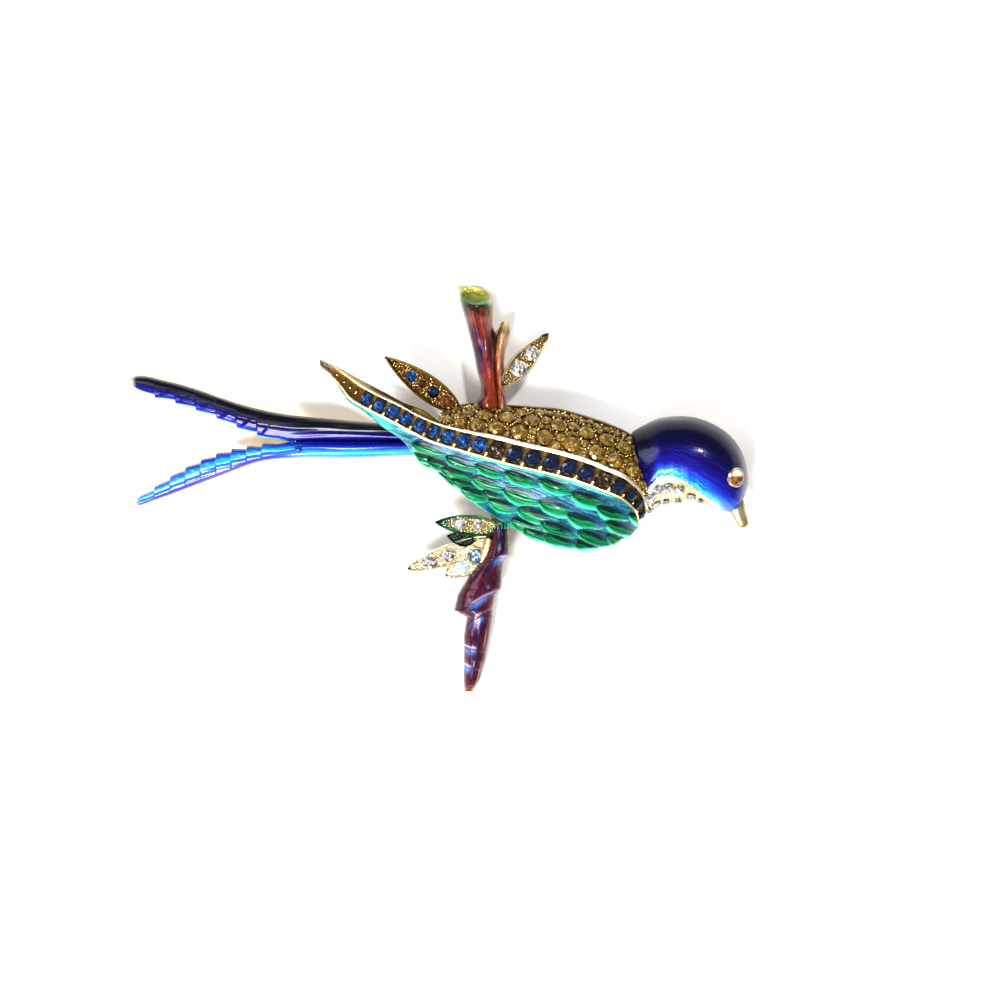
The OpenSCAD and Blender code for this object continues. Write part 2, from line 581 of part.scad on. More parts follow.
// The least width of a leaf at its ends, as a share of its width
LEAF_END = .14;
function leaf_at(base, tip, w, s, v) =
    let (d = unit([tip[0] - base[0], tip[1] - base[1]]), p = mix(base, tip, s),
         half = max(leaf_width(s), LEAF_END) * w / 2)
    [p[0] - d[1] * half * v, p[1] + d[0] * half * v, p[2]];
module leaf_metal(base, tip, w) {
    inner = 1 - 2 * leaf_rim_w / w;
    function z_of(j) = j == 2 || j == 3 ? -leaf_rim : 0;
    across = [-1, -mix(inner, 1, .5), -inner, inner, mix(inner, 1, .5), 1];
    places = [for (i = [0:LEAF_STEPS]) mix(0, 1, i / LEAF_STEPS)];
    between(
        [for (s = places) [for (j = [0:5]) leaf_at(base, tip, w, s, across[j]) + [0, 0, z_of(j)]]],
        [for (s = places) [for (v = [-1, 1]) leaf_at(base, tip, w, s, v) - [0, 0, leaf_t]]]
    );
}
// A stalk or a knot: a short bridge between two points
module stalk(from, to, d1, d2) {
    hull() {
        translate(from) sphere(d = d1, $fn = 5);
        translate(to) sphere(d = d2, $fn = 5);
    }
}
// A point under a leaf's base, inside its blade
function under(base) = [base[0], base[1], base[2] - .6 * leaf_t];
// Knots on the left edge of the lower twig. Columns: place down the twig, distance between the knot's ends
// (shares of twig_l), width (share of twig_t)
KNOTS = [[.66, .03, .27], [.80, .03, .27], [.90, .02, .22]];
module knots() {
    for (k = KNOTS)
        let (x = twig_root[0] + column_at(TWIG, k[0], 1) * twig_l, y = twig_root[1] - k[0] * twig_l,
             z = sink(k[0]) + STEM_EDGE, d = k[2] * twig_t)
        stalk([x, y, z], [x, y - k[1] * twig_l, z], d, .7 * d);
}
right_leaf_base = [branch_root[0] + .105 * branch_l, branch_root[1] + .135 * branch_l, rim_z + 2 * leaf_t];
right_leaf_run = concat(right_leaf_l * [cos(RIGHT_LEAF_TURN), sin(RIGHT_LEAF_TURN)], [-leaf_t]);
right_leaf_tip = right_leaf_base + right_leaf_run;
// The far wing's base, from the back's outline, and how far it comes down to its tip (shares of far_wing_w)
FAR_WING_BASE = [.16, -.29, .52];
FAR_WING_DROP = .1;
far_wing_foot = concat(back_edge_at(1.3), [rim_z + back_edge]);
far_wing_base = far_wing_foot + FAR_WING_BASE * far_wing_w;
far_wing_run = concat(far_wing_l * [cos(FAR_WING_TURN), sin(FAR_WING_TURN)], [-FAR_WING_DROP * far_wing_w]);
far_wing_tip = far_wing_base + far_wing_run;
function lower_base(r) =
    [twig_root[0] + twig_middle(r[0]), twig_root[1] - r[0] * twig_l, rim_z + r[4] * leaf_t];
function lower_tip(r) = [twig_root[0] + r[1] * twig_l, twig_root[1] + r[2] * twig_l, rim_z + r[5] * leaf_t];
function twig_middle(x) = (column_at(TWIG, x, 1) + column_at(TWIG, x, 2)) / 2 * twig_l;
// Where the stalks end in the branch and in the twig
right_leaf_foot = [right_leaf_base[0], right_leaf_base[1] - .07 * branch_l, rim_z + .35 * branch_t];
function lower_foot(r) = [lower_base(r)[0], lower_base(r)[1], rim_z + .3 * twig_t];

// Stones: cut with a table, eight facets above the girdle and eight below
module stone(d) {
    ring = [for (k = [0:7]) [cos(45 * k + 22.5), sin(45 * k + 22.5)] * d / 2];
    points = concat(
        [for (p = ring) [p[0] * TABLE, p[1] * TABLE, CROWN_H * d]],
        [for (p = ring) [p[0], p[1], 0]],
        [[0, 0, -PAVILION_H * d]]
    );
    faces = concat(
        [for (k = [1:6]) [0, k + 1, k]],
        [for (k = [0:7]) each let (n = (k + 1) % 8) [[k, n, 8 + n], [k, 8 + n, 8 + k], [8 + k, 8 + n, 16]]]
    );
    polyhedron(points = points, faces = faces);
}
// A seat is cut down past the stone's foot and up clear of the metal around it
SEAT_CLEAR = 1.2;
module seat(d) {
    depth = PAVILION_H * d + fit;
    translate([0, 0, -depth])
    rotate([0, 0, 22.5])
    cylinder(r = d / 2 + fit, h = depth + SEAT_CLEAR, $fn = 8);
}
// Puts what follows on a place with its normal
module on_frame(f) {
    n = f[1];
    translate(f[0]) rotate([0, acos(n[2]), atan2(n[1], n[0])]) children();
}

// Places of the stones, each a point on the metal, its normal and the stone's size
function rail_walk() =
    let (n = 120, p = [for (i = [0:n]) wing_rail(i * WING_LAST / n)])
    [for (i = 0, l = 0; i <= n; l = l + (i < n ? norm(p[i + 1] - p[i]) : 0), i = i + 1)
        [l, i * WING_LAST / n]];
RAIL = rail_walk();
RAIL_KEYS = [for (r = RAIL) [r[0], r[1]]];
RAIL_FROM = lookup(3.6, [for (r = RAIL) [r[1], r[0]]]);
RAIL_TO = lookup(16.75, [for (r = RAIL) [r[1], r[0]]]);
function wing_stone_size(i) = wing_stone_d * WING_STONE_SHARE[i];
WING_STONE_GAP = (RAIL_TO - RAIL_FROM - sum([for (i = [1:WING_STONES - 2]) wing_stone_size(i)])
    - (wing_stone_size(0) + wing_stone_size(WING_STONES - 1)) / 2) / (WING_STONES - 1);
function wing_stone_walk(i) = i == 0 ? RAIL_FROM :
    wing_stone_walk(i - 1) + (wing_stone_size(i - 1) + wing_stone_size(i)) / 2 + WING_STONE_GAP;
// The wing's stones lean a little towards the feathers
RAIL_LEAN = .12;
function wing_stone_place(i) =
    let (s = lookup(wing_stone_walk(i), RAIL_KEYS), p = rail_point(s, 0, rail_top(s)),
         a = rail_point(s - .1, 0, rail_top(s - .1)), b = rail_point(s + .1, 0, rail_top(s + .1)),
         lean = rail_point(s, -1, rail_top(s) - RAIL_LEAN) - p)
    [p, upward(unit(cross(lean, b - a))), wing_stone_size(i)];
// The back's first stones are smaller
FIRST_BACK_STONE = .78;
function back_normal(s, v) =
    let (along = back_point(s + .1, v, 0) - back_point(s - .1, v, 0),
         across = back_point(s, v + .03, 0) - back_point(s, v - .03, 0))
    upward(unit(cross(along, across)));
function back_stone_places() = [for (r = BACK_ROWS) for (k = [0:r[3] - 1])
    let (s = BACK_LAST * mix(r[1], r[2], k / (r[3] - 1)),
         share = mix(FIRST_BACK_STONE, 1, clamp(s / 3, 0, 1)))
    [back_point(s, r[0], 0), back_normal(s, r[0]), back_stone_d * r[4] * share]];
// The lowest angle across the head at which a throat stone sits
THROAT_END = 172;
function throat_place(r) =
    let (a = mix(blue_end(r[0]), THROAT_END, r[1]))
    [head_point(r[0], a, fit), head_normal(r[0], a), throat_stone_d * r[2]];
function leaf_stone_place(base, tip, w, s, v, d) =
    let (p = leaf_at(base, tip, w, s, 0), across = leaf_at(base, tip, w, s, 1) - p,
         n = unit(cross(tip - base, across)))
    [p + across * v * 2 + n * (fit - leaf_rim), n, d];
function far_stone_places() = [for (r = FAR_WING_STONES)
    leaf_stone_place(far_wing_base, far_wing_tip, far_wing_w, r[0], r[1], far_stone_d * r[2])];
function right_stone_places() = [for (r = RIGHT_LEAF_STONES)
    leaf_stone_place(right_leaf_base, right_leaf_tip, right_leaf_w, r[0], r[1], right_stone_d * r[2])];
function lower_stone_places() = [for (r = LOWER_LEAF_STONES)
    let (l = LOWER_LEAVES[r[0]])
    leaf_stone_place(lower_base(l), lower_tip(l), l[3] * twig_l, r[1], r[2], lower_stone_d * r[3])];
function eye_place() = let (f = eye_frame()) [f[0] + f[1] * EYE_LIFT * bezel_h, f[1], eye_d];

// The whole casting, with the seats of its stones
SEATS = concat(far_stone_places(), right_stone_places(), lower_stone_places(), [eye_place()]);
module bezel() {
    on_frame(eye_frame())
    translate([0, 0, -BEZEL_FOOT])
    cylinder(d = bezel_d, h = BEZEL_FOOT + bezel_h, $fn = 12);
}
module casting() {
    color("goldenrod")
    translate(centre)
    difference() {
        union() {
            wing_metal();
            back_metal();
            head_metal();
            beak_metal();
            prong_metal(TAIL_UPPER, UPPER_BARBS, -1, 1);
            prong_metal(TAIL_LOWER, LOWER_BARBS, 1, .985);
            stem_metal(BRANCH, branch_root, branch_l, branch_t, 1, BRANCH_LAP);
            stem_metal(SIDE_TWIG, branch_root, branch_l, branch_t, 1, SIDE_TWIG_LAP);
            stem_metal(TWIG, twig_root, twig_l, twig_t, -1, TWIG_LAP);
            leaf_metal(right_leaf_base, right_leaf_tip, right_leaf_w);
            leaf_metal(far_wing_base, far_wing_tip, far_wing_w);
            for (l = LOWER_LEAVES) leaf_metal(lower_base(l), lower_tip(l), l[3] * twig_l);
            stalk(under(right_leaf_base), right_leaf_foot, .8 * leaf_t, .55 * leaf_t);
            stalk(under(far_wing_base), concat(back_low(2), [rim_z + back_edge]), .9 * leaf_t, 1.2 * leaf_t);
            for (l = LOWER_LEAVES) stalk(under(lower_base(l)), lower_foot(l), .85 * leaf_t, leaf_t);
            knots();
            bezel();
            for (x = [0, 1]) pin_pad(x);
        }
        for (f = SEATS) on_frame(f) seat(f[2]);
    }
}
module set_stone(f) {
    translate(centre) on_frame(f) stone(f[2]);
}
module back_pave() {
    color("darkkhaki") for (f = back_stone_places()) set_stone(f);
}
module throat_pave() {
    color("whitesmoke") for (r = THROAT) set_stone(throat_place(r));
}
module eye_stone() {
    color("orange") set_stone(eye_place());
}
BROWN_STONES = [9, 15];
module wing_stone(i) {
    color(len(search(i, BROWN_STONES)) > 0 ? "saddlebrown" : "blue") set_stone(wing_stone_place(i));
}
module far_wing_stone(i) {
    color("navy") set_stone(far_stone_places()[i]);
}
module right_leaf_stone(i) {
    color("white") set_stone(right_stone_places()[i]);
}
module lower_leaf_stone(i) {
    color("lightgray") set_stone(lower_stone_places()[i]);
}

// The pin: a bar under the casting's pads, with a hinge, a stem and a catch, all one piece
PIN_DROP = .1;
pin_start = wing_rail(8.6) + [0, -PIN_DROP * wing_h];
// Height of the stem's middle, over the part of the hinge and of the catch that the brooch rests on
PIN_UNDER = .75;
pin_z = stem_d / 2 + PIN_UNDER;
PAD_SHARE = .7;
PAD_H = .6;
PAD_LIFT = .02;
// Width of the hinge's and the catch's legs, wall and play of the catch, length and end of the stem's point
leg_w = 1.6;
catch_wall = .8;
catch_play = .3;
point_l = 1.8;
point_d = .2;
module pin_pad(end) {
    translate([pin_start[0] + end * pin_l, pin_start[1], rim_z + PAD_LIFT])
    cylinder(d = PAD_SHARE * bar_w, h = PAD_H * wing_z, $fn = 12);
}
module pin_back() {
    bar_top = rim_z - fit;
    color("silver")
    translate(centre)
    translate([pin_start[0], pin_start[1], 0]) {
        translate([-bar_w / 2, -bar_w / 2, bar_top - bar_t]) cube([pin_l + bar_w, bar_w, bar_t]);
        // hinge
        translate([0, bar_w / 2, pin_z]) rotate([90, 0, 0]) cylinder(d = 2 * pin_z, h = bar_w);
        translate([-leg_w / 2, -bar_w / 2, pin_z]) cube([leg_w, bar_w, bar_top - bar_t / 2 - pin_z]);
        // stem
        translate([0, 0, pin_z]) rotate([0, 90, 0]) cylinder(d = stem_d, h = pin_l);
        translate([pin_l, 0, pin_z]) rotate([0, 90, 0]) cylinder(d1 = stem_d, d2 = point_d, h = point_l);
        // catch
        translate([pin_l - leg_w / 2, 0, 0]) catch_hook(bar_top - bar_t / 2 - pin_z);
    }
}
// A hook that opens upwards at one side; a thin web ties it to the stem
module catch_hook(leg_h) {
    difference() {
        union() {
            translate([0, 0, pin_z]) rotate([0, 90, 0]) cylinder(d = 2 * pin_z, h = leg_w);
            translate([0, -pin_z, pin_z]) cube([leg_w, catch_wall, leg_h]);
        }
        translate([-leg_w / 2, 0, pin_z]) rotate([0, 90, 0]) cylinder(d = stem_d + catch_play, h = 2 * leg_w);
        translate([-leg_w / 2, 0, pin_z]) cube([2 * leg_w, 2 * pin_z, 2 * pin_z]);
    }
    translate([0, -pin_z, pin_z]) cube([leg_w, pin_z, catch_play]);
}

// The middle of the outline, which becomes the origin
low_x = tail_root[0] - tail_l;
high_x = neck[0] + HEAD[HEAD_LAST][0] * head_l;
low_y = twig_root[1] - twig_l;
high_y = branch_root[1] + branch_l;
centre = [-(low_x + high_x) / 2, -(low_y + high_y) / 2, 0];

casting();
head_enamel();
wing_enamel();
tail_enamel_upper();
tail_enamel_lower();
branch_enamel();
side_twig_enamel();
twig_enamel();
back_pave();
throat_pave();
eye_stone();
pin_back();
for (i = [1:WING_STONES])
    wing_stone(i - 1);
for (i = [1:len(FAR_WING_STONES)])
    far_wing_stone(i - 1);
for (i = [1:len(RIGHT_LEAF_STONES)])
    right_leaf_stone(i - 1);
for (i = [1:len(LOWER_LEAF_STONES)])
    lower_leaf_stone(i - 1);
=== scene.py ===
"""A bird brooch in enamel, stones and gold-toned metal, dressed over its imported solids.

All shapes are worked out in millimetres, in the bird's own frame, and are centred when they become pieces.
"""

import logging
import math
from collections.abc import Callable, Iterable
from dataclasses import dataclass, field
from enum import Enum, IntEnum

import bpy
import numpy as np
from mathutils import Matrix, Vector

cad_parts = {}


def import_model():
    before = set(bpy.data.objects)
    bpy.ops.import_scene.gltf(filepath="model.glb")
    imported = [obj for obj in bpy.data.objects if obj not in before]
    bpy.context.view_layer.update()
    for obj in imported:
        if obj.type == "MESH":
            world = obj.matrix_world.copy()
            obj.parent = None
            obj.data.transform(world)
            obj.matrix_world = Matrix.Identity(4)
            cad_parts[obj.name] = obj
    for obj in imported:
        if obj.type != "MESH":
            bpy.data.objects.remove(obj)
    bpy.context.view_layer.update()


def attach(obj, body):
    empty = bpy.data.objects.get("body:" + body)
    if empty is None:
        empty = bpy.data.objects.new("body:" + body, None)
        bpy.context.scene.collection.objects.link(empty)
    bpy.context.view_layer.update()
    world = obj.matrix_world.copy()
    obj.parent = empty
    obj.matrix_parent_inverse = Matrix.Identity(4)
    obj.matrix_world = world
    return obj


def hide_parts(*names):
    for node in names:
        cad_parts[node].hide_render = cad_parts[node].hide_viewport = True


Array = np.ndarray
Colour = tuple[float, float, float]
Stops = tuple[tuple[float, Colour], ...]
LOG = logging.getLogger("brooch")
MM = 0.001


# Numbers
def mix(a: Array | float, b: Array | float, t: Array | float) -> Array | float:
    """The value a share t of the way from a to b."""
    return a + (b - a) * t


def fade(x: Array, low: float, high: float) -> Array:
    """A smooth step: 0 up to low, 1 from high on."""
    t = np.clip((np.asarray(x, float) - low) / (high - low), 0, 1)
    return t * t * (3 - 2 * t)


def inside(k: Array, first: float, last: float) -> Array:
    """1 in the middle of the places 0 to 1, falling to 0 over the first and the last share of them."""
    return np.minimum(fade(k, 0, first), fade(-k, -1, last - 1))


def unit(v: Array) -> Array:
    """Vectors of length one along the last axis."""
    return v / np.maximum(np.linalg.norm(v, axis=-1, keepdims=True), 1e-9)


def shares(*rows: tuple[float, ...] | float) -> Array:
    """A table of shares, written in thousandths."""
    return np.array(rows) / 1000


def stops(*rows: tuple[float, float, float, float]) -> Stops:
    """A ramp's stops from rows of place, in hundredths, and red, green and blue, in thousandths."""
    return tuple((place / 100, (r / 1000, g / 1000, b / 1000)) for place, r, g, b in rows)


def swept(q: Array) -> Array:
    """The share of the way across that an angle of q degrees has swept on a half circle: (1 - cos q) / 2."""
    return (1 - np.cos(np.radians(q))) / 2


def rows_at(table: Array, s: Array) -> Array:
    """A table's rows at places counted in rows: a Catmull-Rom curve through the rows, column by column.

    Args:
        table: one row of numbers per key place.
        s: places, of any shape.

    Returns:
        The places' rows, with one more axis for the columns.
    """
    s = np.asarray(s, float)
    i = np.clip(np.floor(s).astype(int), 0, len(table) - 2)
    t = np.clip(s - i, 0, 1)[..., None]
    p0, p1, p2 = table[np.maximum(i - 1, 0)], table[i], table[i + 1]
    p3 = table[np.minimum(i + 2, len(table) - 1)]
    bend, twist = 2 * p0 - 5 * p1 + 4 * p2 - p3, 3 * p1 - p0 - 3 * p2 + p3
    return 0.5 * (2 * p1 + (p2 - p0) * t + bend * t**2 + twist * t**3)


def read(table: Array, x: Array, column: int, soft: bool = True) -> Array:
    """A table with a rising first column, read at x.

    Args:
        table: rows of numbers, the first rising.
        x: values of the first column.
        column: the column to read.
        soft: True for a cubic whose tangents are the neighbours' slopes, False for straight lines.

    Returns:
        The column's values at x.
    """
    key, value = table[:, 0], table[:, column]
    if not soft:
        return np.interp(x, key, value)
    slope = np.gradient(value, key)
    i = np.clip(np.searchsorted(key, x) - 1, 0, len(key) - 2)
    h = key[i + 1] - key[i]
    t = np.clip((x - key[i]) / h, 0, 1)
    a, b = (1 + 2 * t) * (1 - t) ** 2, t * (1 - t) ** 2
    return a * value[i] + b * h * slope[i] + (1 - a) * value[i + 1] - t * t * (1 - t) * h * slope[i + 1]


def facing(at: Callable[[float, float], Array], along: float, across: float) -> Array:
    """The directions that a surface faces, turned upwards: the cross product of its steps along and across.

    Args:
        at: the surface's points, moved by a step along and a step across.
        along: length of the step along.
        across: length of the step across.

    Returns:
        One direction of length one for each point.
    """
    n = unit(np.cross(at(along, 0) - at(-along, 0), at(0, across) - at(0, -across)))
    return n * np.where(n[:, 2:] < 0, -1.0, 1.0)


def kept_apart(spots: Array, radii: Array, order: Iterable[int], gap: float) -> list[int]:
    """Numbers of the spots that are kept when each one tried has to be clear of those kept before it.

    Args:
        spots: points.
        radii: radius at each of them.
        order: numbers of the spots in the order in which they are tried.
        gap: least gap between two.

    Returns:
        Numbers of the kept spots.
    """
    kept: list[int] = []
    for i in order:
        if not kept or np.all(np.linalg.norm(spots[kept] - spots[i], axis=1) > radii[kept] + radii[i] + gap):
            kept.append(int(i))
    return kept


# Shapes
@dataclass
class Shape:
    """A closed mesh in millimetres.

    points are its corners, faces arrays of corner numbers (one array for each count of corners),
    notes numbers that lie on the corners and tones numbers that lie on the faces, both read by the finishes.
    """

    points: Array
    faces: list[Array]
    notes: dict[str, Array] = field(default_factory=dict)
    tones: dict[str, Array] = field(default_factory=dict)

    def volume(self) -> float:
        """Six times the volume inside, from the triangles that fan out from each face's first corner.

        Returns:
            That number, below 0 where the faces point inwards.
        """
        total = 0.0
        for f in self.faces:
            for k in range(1, f.shape[1] - 1):
                a, b, c = (self.points[f[:, j]] for j in (0, k, k + 1))
                total += float(np.einsum("ij,ij->i", a, np.cross(b, c)).sum())
        return total

    def outward(self) -> "Shape":
        """The shape with its faces turned outwards."""
        if self.volume() < 0:
            self.faces = [f[:, ::-1] for f in self.faces]
        return self

    @staticmethod
    def joined(shapes: list["Shape"]) -> "Shape":
        """Several shapes as one; a note that one of them lacks is 0 there.

        Args:
            shapes: the shapes.

        Returns:
            One shape.
        """
        names = {n for s in shapes for n in s.notes}
        base = np.cumsum([0] + [len(s.points) for s in shapes])
        return Shape(
            np.concatenate([s.points for s in shapes]),
            [f + start for s, start in zip(shapes, base) for f in s.faces],
            {n: np.concatenate([s.notes.get(n, np.zeros(len(s.points))) for s in shapes]) for n in names},
        )


def slab(top: Array, low: Array, notes: dict[str, Array] | None = None) -> Shape:
    """A closed solid between two grids P(i, j), the top and the underside, joined by walls at their borders.

    Args:
        top: grid of points, rows by columns by 3.
        low: grid of the same size.
        notes: numbers over the top grid, which the underside repeats.

    Returns:
        The solid, with the note "under" at 1 on its underside.
    """
    n, m = top.shape[:2]
    index = np.arange(n * m).reshape(n, m)
    a, b, c, d = index[:-1, :-1], index[1:, :-1], index[1:, 1:], index[:-1, 1:]
    upper = np.stack([a, b, c, d], -1).reshape(-1, 4)
    border = np.concatenate([index[:, 0], index[-1, 1:], index[-2::-1, -1], index[0, -2:0:-1]])
    after = np.roll(border, -1)
    walls = np.stack([after, border, border + n * m, after + n * m], -1)
    points = np.concatenate([top.reshape(-1, 3), low.reshape(-1, 3)])
    kept = {k: np.tile(np.broadcast_to(v, (n, m)).reshape(-1), 2) for k, v in (notes or {}).items()}
    kept["under"] = np.repeat([0.0, 1.0], n * m)
    return Shape(points, [np.concatenate([upper, upper[:, ::-1] + n * m, walls])], kept).outward()


def ringed(rings: Array, tips: Array | None = None) -> Shape:
    """A closed solid of rings, P(i, j) with j going round, closed by a fan to each tip or else by flat lids.

    Args:
        rings: n rings of m points.
        tips: the two points of the fans.

    Returns:
        The solid.
    """
    n, m = rings.shape[:2]
    index = np.arange(n * m).reshape(n, m)
    after = np.roll(index, -1, axis=1)
    walls = np.stack([index[:-1], after[:-1], after[1:], index[1:]], -1).reshape(-1, 4)
    if tips is None:
        return Shape(rings.reshape(-1, 3), [walls, index[:1, ::-1], index[-1:]]).outward()
    first = np.stack([after[0], index[0], np.full(m, n * m)], -1)
    last = np.stack([index[-1], after[-1], np.full(m, n * m + 1)], -1)
    points = np.concatenate([rings.reshape(-1, 3), tips])
    return Shape(points, [walls, np.concatenate([first, last])]).outward()


def circle(sides: int) -> Array:
    """Cosine and sine of equal steps round a circle."""
    t = np.linspace(0, 2 * np.pi, sides, endpoint=False)
    return np.stack([np.cos(t), np.sin(t)], -1)


def tube(
    path: Array, radii: Array, sides: int, up: tuple[float, float, float] = (0, 0, 1), flat: float = 1.0
) -> Shape:
    """A round bar along a path, closed by a point at each end.

    Each ring is C(i) + r(i) (cos t · side + flat · sin t · up).

    Args:
        path: middle points, n by 3.
        radii: radius at each of them.
        sides: corners round the bar.
        up: direction in which it may be flattened.
        flat: thickness along up as a share of its width.

    Returns:
        The bar, with the note "along" from 0 to 1.
    """
    along = unit(np.gradient(path, axis=0))
    side = unit(np.cross(along, up))
    top = np.cross(side, along)
    c = circle(sides)
    ring = side[:, None] * c[None, :, :1] + flat * top[:, None] * c[None, :, 1:]
    tips = np.stack([path[0] - along[0] * radii[0] * 0.3, path[-1] + along[-1] * radii[-1] * 0.3])
    bar = ringed(path[:, None] + ring * radii[:, None, None], tips)
    bar.notes["along"] = np.concatenate([np.repeat(np.linspace(0, 1, len(path)), sides), [0, 1]])
    return bar


def turned(profile: Array, sides: int) -> Shape:
    """A profile of (radius, height) pairs turned round the Z axis, its first and last point on the axis.

    Args:
        profile: the pairs, from axis to axis.
        sides: corners round it.

    Returns:
        The solid.
    """
    inner = profile[1:-1, None]
    height = np.broadcast_to(inner[..., 1:], (len(inner), sides, 1))
    body = np.concatenate([inner[..., :1] * circle(sides), height], -1)
    return ringed(body, np.array([[0, 0, profile[0, 1]], [0, 0, profile[-1, 1]]]))


def block(middle: Array, power: float, sides: int, levels: list[tuple[Array, float]]) -> Shape:
    """A block with soft corners: at each level the outline middle + size · sign(c) |c|^power of a circle c.

    Args:
        middle: middle of the outline.
        power: the smaller, the squarer.
        sides: points of the outline.
        levels: half sizes and height of each level.

    Returns:
        The block.
    """
    c = circle(sides)
    outline = np.sign(c) * np.abs(c) ** power
    rings = [np.column_stack([middle + outline * size, np.full(sides, z)]) for size, z in levels]
    return ringed(np.stack(rings))


@dataclass
class Seats:
    """Places that a small shape is set on: points, the directions they face and the shape's size at each."""

    points: Array
    normals: Array
    sizes: Array

    def chosen(self, which: Array | slice) -> "Seats":
        """Some of the seats."""
        return Seats(self.points[which], self.normals[which], self.sizes[which])

    def room(self, spots: Array, share: float = 0.5) -> Array:
        """How far other spots lie from the nearest seat, less a share of that seat's size."""
        far = np.linalg.norm(spots[:, None] - self.points[None], axis=2)
        return (far - self.sizes[None] * share).min(axis=1)

    def set(self, shape: Shape, seed: int, tone: str | None = None) -> Shape:
        """One copy of the shape on every seat: seat + size · (x · X + y · Y + z · N), turned by chance.

        Args:
            shape: the shape, made for size 1.
            seed: start of the random turns and tones.
            tone: name of a random number laid on each face.

        Returns:
            All copies as one shape.
        """
        dice = np.random.default_rng(seed)
        n = unit(self.normals)
        aside = np.where(np.abs(n[:, :1]) > 0.9, [[0.0, 1.0, 0.0]], [[1.0, 0.0, 0.0]])
        x = unit(aside - n * np.sum(aside * n, axis=1, keepdims=True))
        y = np.cross(n, x)
        a = dice.uniform(0, 2 * np.pi, len(n))[:, None]
        axes = np.stack([x * np.cos(a) + y * np.sin(a), y * np.cos(a) - x * np.sin(a), n], 1)
        body = self.points[:, None] + self.sizes[:, None, None] * np.einsum("pk,nkc->npc", shape.points, axes)
        step = (np.arange(len(n)) * len(shape.points))[:, None, None]
        faces = [(f[None] + step).reshape(-1, f.shape[1]) for f in shape.faces]
        ends = np.cumsum([len(f) for f in shape.faces])[:-1]
        tones = {
            name: np.concatenate([np.tile(part, len(n)) for part in np.split(v, ends)])
            for name, v in shape.tones.items()
        }
        if tone:
            tones[tone] = dice.uniform(0, 1, sum(len(f) for f in faces))
        notes = {name: np.tile(v, len(n)) for name, v in shape.notes.items()}
        return Shape(body.reshape(-1, 3), faces, notes, tones)


def cut_stone(table: float = 0.56, crown: float = 0.2, depth: float = 0.32) -> Shape:
    """A round stone of diameter 1 whose girdle lies at height 0.

    Rings from the middle of the table to the foot, of 8 or 16 corners, every second ring turned by half a
    step, with triangles and kites between them.

    Args:
        table: width of the table.
        crown: height of the table over the girdle.
        depth: depth of the foot under the girdle.

    Returns:
        The stone, with the tone "zone": 0 table, .5 crown, 1 below the girdle.
    """
    t = np.arange(16) * np.pi / 8
    ring = np.stack([np.cos(t), np.sin(t), np.zeros(16)], -1)
    z = np.array([0.0, 0.0, 1.0])
    points = np.concatenate(
        [
            [[0, 0, crown]],
            ring[::2] * table * 0.24 + z * crown,
            ring[::2] * table * 0.5 + z * crown,
            ring[1::2] * 0.385 + z * crown * 0.62,
            ring * 0.5 + z * 0.015,
            ring * 0.5 - z * 0.02,
            ring[1::2] * 0.22 - z * depth * 0.55,
            [[0, 0, -depth]],
        ]
    )
    heart, inner, rim, kite, girdle, under, pavilion, foot = 0, 1, 9, 17, 25, 41, 57, 65
    k, after, before = np.arange(8), (np.arange(8) + 1) % 8, (np.arange(8) - 1) % 8
    g, g1, g2 = girdle + 2 * k, girdle + 2 * k + 1, girdle + 2 * after
    u, u1, u2 = (corner + under - girdle for corner in (g, g1, g2))
    triangles = (
        (0.0, heart, inner + k, inner + after),
        (0.0, inner + k, rim + k, inner + after),
        (0.0, rim + k, rim + after, inner + after),
        (0.5, rim + k, kite + k, rim + after),
        (0.5, kite + k, g, g1),
        (0.5, kite + k, g1, g2),
        (1.0, u, pavilion + k, u1),
        (1.0, u1, pavilion + k, u2),
    )
    kites = (
        (0.5, rim + k, kite + before, g, kite + k),
        (1.0, g, u, u1, g1),
        (1.0, g1, u1, u2, g2),
        (1.0, pavilion + before, foot, pavilion + k, u),
    )
    faces = []
    for group in (triangles, kites):
        corners = [np.stack(np.broadcast_arrays(*row[1:]), -1) for row in group]
        faces.append(np.concatenate(corners))
    zone = np.repeat([row[0] for row in (*triangles, *kites)], len(k))
    return Shape(points, faces, {}, {"zone": zone}).outward()


def bead(height: float = 0.0) -> Shape:
    """A small round bead of radius 1 on a post that reaches down by height.

    Args:
        height: length of the post.

    Returns:
        The bead.
    """
    a = np.radians([90, 55, 15, -25])
    profile = np.stack([np.cos(a), np.sin(a)], -1)
    profile[0, 0] = 0
    return turned(np.concatenate([profile, [[0.8, -1 - height], [0.0, -1 - height]]]), 8)


